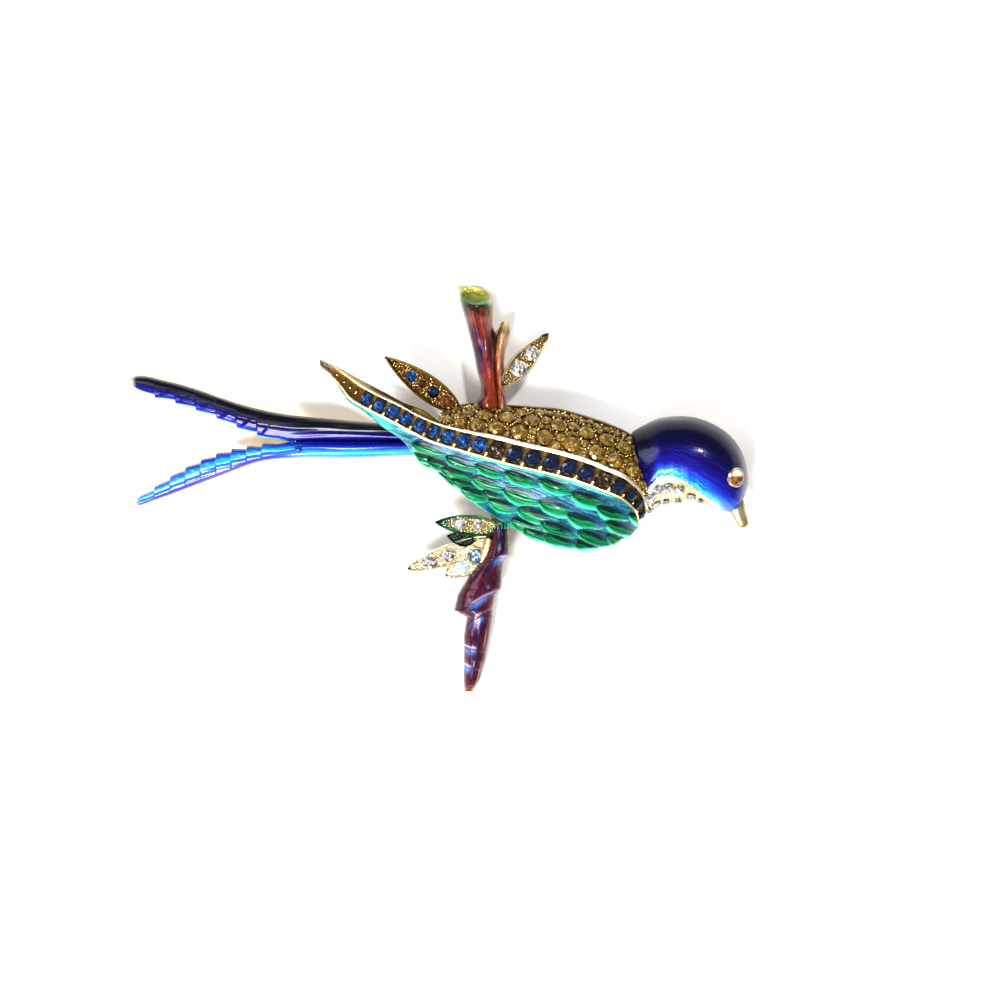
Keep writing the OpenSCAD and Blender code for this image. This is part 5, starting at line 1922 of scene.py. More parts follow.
UPPER_PRONG = Prong(
    "upper", Slot.BLUE,
    TailBlue(
        "tail_navy", 0.15, 0.22,
        # A painted highlight line along the ridge at 36, a pale azure painted highlight on the barbs' edge
        # from 92 on.
        blade=stops(
            (0, 1, 1, 5), (26, 2, 2, 12), (36, 30, 35, 50), (42, 3, 3, 30),
            (58, 5, 2, 100), (82, 7, 8, 240), (92, 20, 200, 650), (100, 250, 650, 950),
        ),
        root=stops((0, 1, 1, 5), (40, 2, 2, 14), (60, 5, 2, 90), (100, 7, 6, 220)),
    ),
    barbs=6, inner=-1, end=1.0, lap=0.06,
    table=shares(
        (-150, 110, -3), (0, 125, -3), (118, 142, -3), (272, 172, -3), (430, 205, 4), (588, 280, 110),
        (670, 336, 185), (774, 410, 268), (857, 455, 325), (960, 495, 385), (1000, 485, 430),
    ),
)
LOWER_PRONG = Prong(
    "lower", Slot.AZURE,
    TailBlue(
        "tail_azure", 0.2, 0.2,
        # The bright azure at 56 lies near the ridge, partly a painted highlight.
        blade=stops(
            (0, 40, 35, 260), (20, 60, 70, 450), (40, 12, 110, 620), (56, 30, 340, 900),
            (72, 10, 100, 600), (88, 4, 6, 160), (100, 3, 5, 50),
        ),
        root=stops(
            (0, 20, 160, 600), (22, 50, 400, 900), (42, 10, 90, 500), (62, 6, 10, 280), (100, 5, 4, 160)
        ),
    ),
    barbs=8, inner=1, end=0.985, lap=0.1,
    table=shares(
        (-150, 4, -100), (0, 4, -112), (190, 4, -127), (390, 2, -127), (505, -40, -149), (663, -105, -261),
        (817, -250, -381), (910, -370, -450), (960, -415, -485), (985, -450, -492),
    ),
)
KNOT_NAVY = TailBlue("knot_navy", 0.1, 0.1, blade=stops((0, 6, 30, 200), (100, 20, 100, 400)))


@dataclass
class Tail:
    """The forked tail."""

    maker: Maker
    barb_w: float = 0.42
    # share of the way across, share of the height that rises over the edges
    ROOF = shares((0, 0), (120, 450), (420, 1000), (700, 620), (900, 350), (1000, 0))

    def surface(self, prong: Prong, x: Array, v: Array, drop: Array | float) -> tuple[Array, Array]:
        """A prong's upper surface: a roof across it, stepped out on its inner edge by the barbs.

        Each barb leaves a low ridge that slants from the edge to the roof's ridge.

        Args:
            prong: the prong.
            x: places along it, n of them.
            v: places across it, m of them, from its upper to its lower edge.
            drop: depth below the enamel's surface.

        Returns:
            Points, and the distance from the inner edge as a share of the way to the ridge.
        """
        p = self.maker.plan
        v = np.broadcast_to(v, (len(x), len(v)))
        barb = prong.saw(x) * self.barb_w
        top = read(prong.table, x, 1) * p.tail_w + (barb if prong.inner > 0 else 0)
        low = read(prong.table, x, 2) * p.tail_w - (barb if prong.inner < 0 else 0)
        thick = p.tail_t * mix(1, 0.62, np.clip(x, 0, 1))
        ridge = np.clip((1 - v) / 0.55 if prong.inner < 0 else v / 0.45, 0, 1)
        tooth = prong.saw(x[:, None], 0.6 * ridge)
        tooth = tooth * (1 - fade(tooth, 0.78, 1.0)) * fade(x, 0.44, 0.52)[:, None]
        relief = 0.19 * tooth * (1 - ridge) ** 0.6 * (ridge < 1)
        waves = np.sin(v * 2 * np.pi * 5 + 3 * np.sin(9 * x[:, None]))
        lines = 0.014 * waves * fade(1 - np.abs(2 * v - 1), 0.0, 0.2)
        z = p.sink(x)[:, None] + thick[:, None] * mix(0.5, 1, read(self.ROOF, v, 1)) + relief + lines - drop
        y = p.tail_root[1] + mix(top[:, None], low[:, None], v)
        along = np.broadcast_to((p.tail_root[0] - x * p.tail_l)[:, None], v.shape)
        return np.stack([along, y, z], -1), ridge

    def metal(self, prong: Prong) -> Shape:
        """The prong's metal, down to the rim's height.

        Args:
            prong: the prong.

        Returns:
            The metal's shape.
        """
        p = self.maker.plan
        x = np.linspace(-0.15, prong.end, 300)
        v = np.concatenate([[0, 0], np.linspace(0.012, 0.988, 20), [1, 1]])
        drop = np.full(24, p.skin)
        drop[[0, -1]] += 0.25
        top, _ = self.surface(prong, x, v, drop)
        return slab(top, p.underside(top, x, prong.lap))

    def enamel(self, prong: Prong) -> Shape:
        """The prong's enamel, which rounds off at its borders and thins at the tip.

        Args:
            prong: the prong.

        Returns:
            The layer's shape, with the notes that its finish reads.
        """
        end = prong.end
        x, k = np.linspace(-0.09, end - 0.006, 460), np.linspace(0, 1, 44)
        v = mix(0.01, 0.99, k)
        near = inside(k, 0.09, 0.09)[None] * fade(-x, 0.005 - end, 0.03 - end)[:, None]
        top, ridge = self.surface(prong, x, v, 0.24 * (1 - near))
        low, _ = self.surface(prong, x, v, self.maker.plan.enamel_t)
        across = k[None] if prong.inner < 0 else 1 - k[None]
        edge = fade(-ridge, -0.2, -0.02) * fade(x, 0.38, 0.46)[:, None]
        tip = fade(x, end - 0.035, end - 0.012)[:, None]
        across = np.clip(across * 0.9 + edge * 0.1, 0, 1)
        return slab(top, low, {"across": across, "along": x[:, None], "tip": tip})

    def knots(self) -> Shape:
        """Two low round knots on the lower prong.

        Returns:
            Both as one shape.
        """
        t = np.linspace(0, np.pi / 2, 9)
        dome = np.concatenate([np.stack([np.sin(t), 0.34 * np.cos(t)], -1), [[0.9, -0.5], [0, -0.5]]])
        places = ((0.372, 0.42), (0.392, 0.12))
        spots = [self.surface(LOWER_PRONG, np.array([x]), np.array([v]), 0.06)[0][0, 0] for x, v in places]
        seats = Seats(np.array(spots), np.tile([0, 0, 1.0], (2, 1)), np.array([0.52, 0.42]))
        return seats.set(turned(dome, 28), 2)

    def build(self) -> None:
        """Makes the tail's pieces."""
        m = self.maker
        m.put("tail_knots", self.knots(), KNOT_NAVY, Slot.BLUE, ["tail_enamel_lower"], 38)
        for prong in (UPPER_PRONG, LOWER_PRONG):
            m.cast(f"{prong.name}_prong_casting", self.metal(prong), angle=50)
            node = f"tail_enamel_{prong.name}"
            m.put(f"{prong.name}_prong_enamel", self.enamel(prong), prong.finish, prong.slot, [node], 45)


# Stems
BARK_BROWN = Bark(
    "bark_brown", 0.2, 0.2,
    long_way=stops(
        (0, 140, 60, 8), (16, 200, 30, 6), (34, 200, 20, 8), (52, 22, 6, 45),
        (70, 60, 8, 40), (86, 300, 80, 35), (95, 16, 4, 2), (100, 30, 16, 3),
    ),
    cross_way=stops((0, 3, 2, 8), (35, 35, 3, 20), (60, 200, 30, 12), (85, 140, 50, 10), (100, 300, 200, 50)),
    glint=(0.36, 0.13, 0.12),
)
BARK_CORAL = Bark(
    "bark_coral", 0.25, 0.18,
    long_way=stops(
        (0, 120, 20, 6), (30, 240, 40, 12), (60, 400, 120, 60),
        (82, 450, 260, 120), (92, 60, 50, 8), (100, 200, 240, 40),
    ),
    cross_way=stops(
        (0, 40, 6, 6), (32, 340, 90, 45), (55, 600, 400, 260), (75, 200, 130, 40), (100, 50, 30, 8)
    ),
    glint=(0.75, 0.42, 0.28),
)
BARK_WINE = Bark(
    "bark_wine", 0.2, 0.18, 0.3,
    long_way=stops((0, 4, 5, 20), (20, 12, 5, 22), (35, 50, 4, 16), (70, 50, 4, 22), (100, 70, 6, 12)),
    cross_way=stops(
        (0, 8, 2, 5), (36, 100, 8, 10), (52, 14, 8, 40), (62, 15, 18, 70), (75, 60, 4, 12), (100, 100, 12, 14)
    ),
    edge=(0.12, 0.03, 0.02),
    glint=(0.1, 0.2, 0.5),
    pale=(0.6, 0.26, 0.2),
    glow=(0.13, 0.012, 0.012),
    speckle=0.6,
    seam=0.55,
)


@dataclass
class Stem:
    """A half-round stem in relief along a table: distance, left and right edge, height (all shares)."""

    name: str
    plan: Plan
    root: Array
    length: float
    thick: float
    table: Array
    lap: float
    way: int = 1
    soft: bool = True
    # a step's place at the left and at the right edge, and the place across of its painted highlight patch
    steps: tuple[tuple[float, float, float], ...] = ()
    edge: float = 0.4

    def surface(self, x: Array, q: Array, drop: Array | float) -> Array:
        """Half an ellipse across the stem at each place, with a low step after each year's growth.

        Args:
            x: places along the stem, n of them.
            q: angles across it, m of them, in degrees.
            drop: depth below the enamel's middle.

        Returns:
            Points, n by m by 3.
        """
        a, b = (read(self.table, x, c, self.soft)[:, None] * self.length for c in (1, 2))
        h = read(self.table, x, 3, self.soft)[:, None] * self.thick
        r = np.broadcast_to(np.radians(q), (len(x), len(q)))
        u = (1 - np.cos(r)) / 2
        relief = 0.04 * np.sin(r * 2 * 4.5 + 2.5 * np.sin(x[:, None] * 7)) * np.sin(r)
        for left, right, _ in self.steps:
            away = x[:, None] - mix(left, right, u)
            relief = relief + 0.38 * fade(away, -0.12, 0.0) * fade(-away, -0.007, 0.0)
        z = self.plan.sink(x)[:, None] + self.edge + (h - self.edge + relief) * np.sin(r) - drop
        y = np.broadcast_to((self.root[1] + self.way * x * self.length)[:, None], r.shape)
        return np.stack([self.root[0] + mix(a, b, u), y, z], -1)

    def scoop(self, x: Array, q: Array) -> tuple[Array, Array]:
        """The cut end's scoop: places round an ellipse (1 on it) and the depth, 0 outside the ellipse.

        Args:
            x: places along the stem.
            q: angles across it.

        Returns:
            The places and the depth.
        """
        u = swept(q)
        ring = np.sqrt(((x[:, None] - 0.905) / 0.085) ** 2 + ((u - 0.5) / 0.44) ** 2)
        return ring, 0.75 * (1 - fade(ring, 0.35, 1.0))

    def metal(self) -> Shape:
        """The stem's metal, down to the rim's height, lower under a cut end.

        Returns:
            The metal's shape.
        """
        x, q = np.linspace(self.table[0, 0], self.table[-1, 0], 150), np.linspace(0, 180, 26)
        top = self.surface(x, q, self.plan.skin / 2)
        if self.name == "branch":
            top[..., 2] -= 1.35 * self.scoop(x, q)[1]
        return slab(top, self.plan.underside(top, x, self.lap))

    def enamel(self, start: float, end: float, rows: int = 200) -> Shape:
        """The enamel over the stem between two places, rounded off at its borders.

        Args:
            start: the first place.
            end: the last place.
            rows: rows of points between them.

        Returns:
            The layer's shape, with the notes that its finish reads.
        """
        skin = self.plan.skin / 2
        x, k = np.linspace(start, end, rows), np.linspace(0, 1, 40)
        q = mix(12.0, 168.0, k)
        rim = np.minimum(fade(x, start, start + 0.02), fade(-x, -end, 0.02 - end))[:, None]
        top = self.surface(x, q, 0.2 * (1 - inside(k, 0.1, 0.1)[None] * rim) - skin)
        low = self.surface(x, q, skin - self.plan.fit)
        u = swept(q)
        patch, lip = np.zeros((rows, 40)), np.zeros((rows, 40))
        # ridge marks a painted glint just past each step, lip a painted highlight on each step's lip.
        for left, right, spot in self.steps:
            away = x[:, None] - mix(left, right, u)
            patch += np.exp(-(((away - 0.018) / 0.026) ** 2) - ((u - spot) / 0.2) ** 2)
            lip += fade(away, -0.011, -0.005) * (away < 0.002) * (1 - fade(np.abs(u - spot), 0.1, 0.26))
        along = ((x - start) / (end - start))[:, None]
        notes = {"across": u, "along": along, "ridge": np.clip(patch, 0, 1), "lip": np.clip(lip, 0, 1)}
        return slab(top, low, notes)

    def cut_end(self) -> Shape:
        """The branch's cut end: its surface dips inside an ellipse, whose border stands up as a rim.

        Returns:
            The cut end's shape.
        """
        x, k = np.linspace(0.8, 0.995, 70), np.linspace(0, 1, 44)
        q = mix(4.0, 176.0, k)
        ring, dip = self.scoop(x, q)
        dip = dip - 0.16 * np.exp(-(((ring - 1.05) / 0.12) ** 2))
        top = self.surface(x, q, dip + 0.22 * (1 - inside(k, 0.08, 0.08)[None]) - self.plan.skin / 2)
        low = self.surface(x, q, self.plan.skin / 2)
        low[..., 2] = np.minimum(low[..., 2], top[..., 2] - 0.25)
        foot = (0.985 - x[:, None]) / 0.17 + 0.35 * (0.5 - swept(q))
        return slab(top, low, {"ring": np.clip(ring / 1.3, 0, 1), "low": np.clip(foot, 0, 1)})


@dataclass
class Stems:
    """The upper branch with its side twig and cut end, and the lower twig."""

    maker: Maker
    # distance, left edge, right edge (shares of the length), height (share of the thickness)
    BRANCH = shares(
        (-100, -100, 100, 800), (0, -120, 100, 950), (60, -75, 90, 970), (120, -67, 85, 1000),
        (300, -104, 78, 1000), (475, -142, 70, 1000), (600, -175, 55, 1000), (660, -190, 33, 1000),
        (742, -212, 33, 1000), (830, -237, 33, 950), (930, -262, 15, 620), (1000, -272, -70, 400),
    )
    SIDE_TWIG = shares(
        (-80, 60, 155, 750), (40, 64, 150, 800), (160, 44, 130, 820), (280, 40, 128, 840),
        (400, 36, 133, 850), (540, 58, 164, 850), (620, 75, 183, 800), (690, 105, 165, 500),
    )
    TWIG = shares(
        (-100, -64, 41, 250), (5, -55, 45, 280), (40, -52, 47, 800), (120, -67, 55, 1000),
        (200, -93, 58, 1050), (227, -107, 23, 1000), (320, -183, 15, 1000), (390, -227, 12, 1050),
        (430, -250, -23, 980), (520, -273, -41, 950), (540, -233, -41, 950), (560, -198, -41, 950),
        (680, -215, -58, 950), (810, -215, -81, 900), (930, -215, -116, 750), (1000, -209, -157, 500),
    )
    twig_steps: tuple[tuple[float, float, float], ...] = (
        (0.215, 0.2, 0.8), (0.545, 0.385, 0.62), (0.6, 0.5, 0.5), (0.72, 0.77, 0.2), (0.83, 0.88, 0.2)
    )

    def tuft(self, twig: Stem) -> Shape:
        """Thin lines over the twig's top, each a tube that swells in its middle.

        Args:
            twig: the twig.

        Returns:
            All lines as one shape.
        """
        lines = []
        for q in (30.0, 55.0, 80.0, 105.0, 130.0, 152.0):
            x = np.linspace(0.0, 0.058 + 0.012 * math.sin(q), 12)
            line = twig.surface(x, np.array([q]), -self.maker.plan.skin / 2)[:, 0]
            lines.append(tube(line, 0.17 * np.sin(np.linspace(0.5, 2.9, 12)), 10))
        return Shape.joined(lines)

    def spur(self) -> Shape:
        """A flat spur beside the twig, r = .6 (1 - .7 k^1.5) from its root to its point.

        Returns:
            The spur.
        """
        k = np.linspace(0, 1, 20)
        spine = self.maker.plan.by_twig(mix(-0.062, -0.11, k), mix(-0.10, -0.25, k), mix(1.8, 1.25, k))
        return tube(spine, 0.6 * (1 - 0.7 * k**1.5) + 0.02, 18, flat=0.8)

    def build(self) -> None:
        """Makes the stems' pieces."""
        p, m = self.maker.plan, self.maker
        upper, lower = (p, p.branch_root, p.branch_l, p.branch_t), (p, p.twig_root, p.twig_l, p.twig_t)
        branch = Stem("branch", *upper, self.BRANCH, 0.08)
        side_twig = Stem("side_twig", *upper, self.SIDE_TWIG, 0.14)
        twig = Stem("twig", *lower, self.TWIG, 0.06, -1, False, self.twig_steps)
        for stem in (branch, side_twig, twig):
            m.cast(f"{stem.name}_casting", stem.metal(), ROSE_GOLD if stem is twig else BROWN_GOLD, 50)
        m.put("branch_bark", branch.enamel(-0.08, 0.82), BARK_BROWN, Slot.BROWN, ["branch_enamel"], 50)
        cut = CutWood("cut_green", 0.3, 0.15)
        m.put("branch_cut_end", branch.cut_end(), cut, Slot.GREEN, ["branch_enamel"], 50)
        coral = side_twig.enamel(-0.06, 0.655)
        m.put("side_twig_bark", coral, BARK_CORAL, Slot.CORAL, ["side_twig_enamel"], 50)
        m.cast("twig_tuft", self.tuft(twig), TUFT_SILVER)
        m.cast("twig_spur", self.spur(), SPUR_GOLD)
        m.put("twig_bark", twig.enamel(0.012, 0.975, 340), BARK_WINE, Slot.WINE, ["twig_enamel"], 40)


# Leaves
@dataclass
class Leaf:
    """A stone-set leaf or wing blade: base, tip and width, and its stones (place along, across, size)."""

    name: str
    base: Array
    tip: Array
    width: float
    stones: tuple[tuple[float, float, float], ...]
    node: str = ""
    first: int = 1
    metal: Finish = PALE_BED
    gems: tuple[Gem, ...] = (CRYSTAL, CRYSTAL)
    blunt: float = 0.75
    rim: float = 0.3
    rim_h: float = 0.25
    thick: float = 1.3

    def half(self, s: Array) -> Array:
        """Half the blade's width: w(s) = W/2 · sin(pi s^.8)^b, the rounder at its tip the smaller b is."""
        power = mix(0.75, self.blunt, fade(s, 0.3, 0.6))
        return np.maximum(np.abs(np.sin(np.pi * np.clip(s, 0, 1) ** 0.8)) ** power, 0.1) * self.width / 2

    def at(self, s: Array, v: Array) -> Array:
        """Points of the blade's plane: base to tip, half the width to each side.

        Args:
            s: places along the blade.
            v: places across it, -1 to 1.

        Returns:
            Points, n by m by 3.
        """
        d = unit(self.tip[:2] - self.base[:2])
        middle = mix(self.base, self.tip, s[:, None])
        return middle[:, None] + np.array([-d[1], d[0], 0.0]) * (self.half(s)[:, None] * v)[..., None]

    def normal(self) -> Array:
        """The direction that the blade faces.

        Returns:
            A direction of length one.
        """
        d = self.tip - self.base
        n = np.cross(d, np.array([-d[1], d[0], 0.0]))
        return unit(n) * np.sign(n[2])

    def blade(self) -> Shape:
        """The blade: wall, round rim and a pebbled floor, as one profile across, carried from base to tip.

        Returns:
            The blade's shape.
        """
        n = 90
        s = np.sin(np.linspace(0, np.pi / 2, n)) ** 1.5
        half = self.half(s)[:, None]
        inset = np.array([0, 0, 0.04, 0.12, 0.2, 0.26, 0.3]) / 0.3 * self.rim
        inset = np.minimum(inset[None], 0.8 * half) / half
        lift = np.array([-self.thick, -0.14, -0.04, 0.02, 0.0, -0.1, -self.rim_h])
        t = np.linspace(-1, 1, 17)[1:-1]
        v = np.concatenate([inset - 1, (1 - inset[:, -1:]) * t[None], (1 - inset)[:, ::-1]], 1)
        grain = 0.03 * np.sin(s[:, None] * 37) * np.sin(t[None] * 9)
        walls = [np.broadcast_to(row, (n, 7)) for row in (lift, lift[::-1])]
        top = self.at(s, v)
        top[..., 2] += np.concatenate([walls[0], grain - self.rim_h - 0.03, walls[1]], 1)
        low = self.at(s, np.linspace(-1, 1, v.shape[1])[None])
        low[..., 2] -= self.thick + 0.02
        floor = np.concatenate([np.zeros(6), np.ones(17), np.zeros(6)])
        rim = 0.75 * (1 - floor)
        # The floor takes patina and painted shade; the rims take a pale cream painted highlight, bronze on
        # the far wing, and the right leaf's tip turns bronze.
        notes = {"recess": 0.6 * floor, "across": v, "along": s[:, None]}
        notes["bronze" if self.name == "far_wing" else "cream"] = rim
        if self.name == "right_leaf":
            notes["bronze"] = fade(s, 0.86, 0.93)[:, None]
            notes["cream"] = rim * (1 - notes["bronze"])
        return slab(top, low, notes)

    def seats(self, fit: float) -> Seats:
        """The stones' seats on the floor of the blade.

        Args:
            fit: play under a stone.

        Returns:
            The seats.
        """
        s, across, size = np.array(self.stones).T
        n = self.normal()
        middle = self.at(s, np.zeros((len(s), 1)))[:, 0]
        aside = self.at(s, np.ones((len(s), 1)))[:, 0] - middle
        points = middle + aside * (2 * across)[:, None] + n * (fit - self.rim_h)
        return Seats(points, np.tile(n, (len(s), 1)), size)

    def collars(self, seats: Seats) -> Shape:
        """A thin collar round each stone, with four claws.

        Args:
            seats: the stones' seats.

        Returns:
            Collars and claws as one shape.
        """
        ring = ((0, -0.2), (0.49, -0.2), (0.5, 0.0), (0.53, 0.05), (0.57, 0.0), (0.6, -0.25), (0, -0.3))
        a = (np.arange(4) * np.pi / 2 + 0.6)[:, None]
        n = seats.normals[0]
        x = unit(np.cross(n, [0.3, 1.0, 0.0]))
        way = np.cos(a) * x + np.sin(a) * np.cross(n, x)
        spots = (seats.points[:, None] + seats.sizes[:, None, None] * 0.55 * way[None]).reshape(-1, 3)
        claws = Seats(spots + n * 0.06, np.tile(n, (len(spots), 1)), np.repeat(seats.sizes * 0.1, 4))
        return Shape.joined([seats.set(turned(np.array(ring), 24), 2), claws.set(bead(1.5), 4)])

    def grains(self, seats: Seats, seed: int) -> Shape:
        """Small grains on the floor, clear of the stones.

        Args:
            seats: the stones' seats.
            seed: start of the random draws.

        Returns:
            All grains as one shape.
        """
        dice = np.random.default_rng(seed)
        s, v = dice.uniform(0.06, 0.95, 700), dice.uniform(-0.7, 0.7, 700)
        spots = self.at(s, v[:, None])[:, 0]
        spots[:, 2] -= self.rim_h
        size = np.minimum(dice.uniform(0.08, 0.14, len(s)), seats.room(spots, 0.6))
        kept = kept_apart(spots, size, np.flatnonzero(size > 0.065), 0.03)
        return Seats(spots[kept], np.tile(self.normal(), (len(kept), 1)), size[kept]).set(bead(0.8), seed)

    def stalk(self, end: Array, thin: float, thick: float, drop: float) -> Shape:
        """A short bar from under the base to an end, r = mix(thin, thick, t) (1 - .25 sin(pi t)).

        Args:
            end: where it ends.
            thin: first radius.
            thick: last radius.
            drop: depth of its start.

        Returns:
            The bar.
        """
        t = np.linspace(0, 1, 16)
        path = mix(self.base - np.array([0, 0, drop]), end, t[:, None])
        return tube(path, mix(thin, thick, t) * (1 - 0.25 * np.sin(np.pi * t)), 18, (0.2, 0.1, 1.0))


LEAF_GREEN = GreenRim("leaf_green", 0.3, 0.2)
WEB_GREEN = GreenRim("web_green", 0.3, 0.2, 0.3, -1.0, (0.0005, 0.003, 0.001), (0.001, 0.016, 0.005))


@dataclass
class Leaves:
    """The far wing's tip, the right leaf and the three lower leaves, with their stalks."""

    maker: Maker
    far_d: float = 1.6
    far_w: float = 3.1
    far_l: float = 11.4
    right_l: float = 8.7
    lower_d: float = 2.12

    def blade_step(self, length: float, degrees: float, rise: float) -> Array:
        """The step from a blade's base to its tip, from its length and its angle in the plan."""
        a = math.radians(degrees)
        return np.array([length * math.cos(a), length * math.sin(a), rise])

    def far(self) -> tuple[Leaf, Shape]:
        """The far wing's tip and its stalk.

        Returns:
            The blade and its stalk.
        """
        p = self.maker.plan
        foot = np.append(p.back_outline(np.array(1.3)), p.rim_z + p.back_edge)
        base = foot + np.array([0.16, -0.29, 0.52]) * self.far_w
        stones = ((0.20, 0, 1.0), (0.37, 0, 0.98), (0.515, 0, 0.72), (0.655, 0.02, 0.88))
        stones = tuple((s, v, self.far_d * size) for s, v, size in stones)
        tip = base + self.blade_step(self.far_l, 144, -0.1 * self.far_w)
        gems = (RUSSET, NAVY, SMOKE, SAPPHIRE)
        leaf = Leaf("far_wing", base, tip, self.far_w, stones, "far_wing", 1, AMBER_BED, gems)
        end = np.append(p.back_low(np.array(2.0)), p.rim_z + p.back_edge)
        return leaf, leaf.stalk(end, 0.6, 0.8, 0.6 * p.leaf_t)

    def right(self) -> tuple[Leaf, Shape]:
        """The leaf at the branch's right and its stalk.

        Returns:
            The leaf and its stalk.
        """
        p = self.maker.plan
        base = np.append(p.branch_root + np.array([0.105, 0.135]) * p.branch_l, p.rim_z + 2 * p.leaf_t)
        tip = base + self.blade_step(self.right_l, 49, -p.leaf_t)
        stones = ((0.36, -0.04, 1.9), (0.64, -0.04, 1.72))
        leaf = Leaf("right_leaf", base, tip, 2.7, stones, "right_leaf", blunt=0.6)
        end = np.append(base[:2] - [0, 0.07 * p.branch_l], p.rim_z + 0.35 * p.branch_t)
        return leaf, leaf.stalk(end, 0.5, 0.36, 0.6 * p.leaf_t)

    def lower(self) -> list[tuple[Leaf, Shape]]:
        """The three leaves at the lower twig and their stalks.

        Returns:
            Each leaf with its stalk.
        """
        p = self.maker.plan
        # name, distance down the twig, tip x, y, width (shares of the twig), heights of both, bluntness
        rows = (
            ("top_leaf", 0.04, -0.378, -0.006, 0.125, 1.7, 1.3, 0.7),
            ("left_leaf", 0.10, -0.540, -0.280, 0.130, 0.9, 0.5, 0.45),
            ("middle_leaf", 0.12, -0.318, -0.322, 0.160, 1.2, 0.3, 0.5),
        )
        places = (
            ((0.34, -0.05, 0.62), (0.62, -0.05, 0.7)),
            ((0.56, 0, 0.74), (0.755, 0, 0.84)),
            ((0.42, 0, 0.98), (0.70, 0, 0.82)),
        )
        beds = (LEAF_GREEN, CREAM_BED, CREAM_BED)
        gems = ((CRYSTAL, CRYSTAL), (CRYSTAL, CRYSTAL), (SLATE, OPAL))
        leaves = []
        for k, (name, down, x, y, wide, high, low, blunt) in enumerate(rows):
            base = p.by_twig(mix(-0.0025, -0.006, (down - 0.04) / 0.08), -down, high * p.leaf_t)
            tip = p.by_twig(x, y, low * p.leaf_t)
            stones = tuple((s, v, size * self.lower_d) for s, v, size in places[k])
            own = (stones, "lower_leaf", 1 + 2 * k, beds[k], gems[k], blunt)
            leaf = Leaf(name, base, tip, wide * p.twig_l, *own)
            end = np.append(base[:2], p.rim_z + 0.3 * p.twig_t)
            leaves.append((leaf, leaf.stalk(end, 0.55, 0.65, 0.6 * p.leaf_t)))
        return leaves

    def build(self) -> None:
        """Makes the leaves' pieces, with each stone in its own colour."""
        p, m = self.maker.plan, self.maker
        ends = p.by_twig(-0.15, -0.12, 1.35), p.by_twig(-0.31, -0.085, 0.95)
        web = Leaf("leaf_web", *ends, 0.085 * p.twig_l, (), rim=0.2)
        m.put("leaf_web", web.blade(), WEB_GREEN, Slot.GREEN, ["casting"], 50)
        for k, (leaf, stalk) in enumerate((self.far(), self.right(), *self.lower())):
            seats = leaf.seats(p.fit)
            slot = Slot.GREEN if leaf.metal is LEAF_GREEN else Slot.GOLD
            m.put(f"{leaf.name}_casting", leaf.blade(), leaf.metal, slot, ["casting"], 50)
            detail = Shape.joined([leaf.collars(seats), leaf.grains(seats, 50 + k), stalk])
            m.cast(f"{leaf.name}_settings", detail, GOLD if leaf.name == "far_wing" else CREAM_GOLD)
            for i, gem in enumerate(leaf.gems):
                one, nodes = seats.chosen(slice(i, i + 1)), [f"{leaf.node}_stone_{leaf.first + i}"]
                m.set_stones(f"{leaf.name}_gem_{i + 1}", one, 60 + 4 * k + i, gem, nodes)


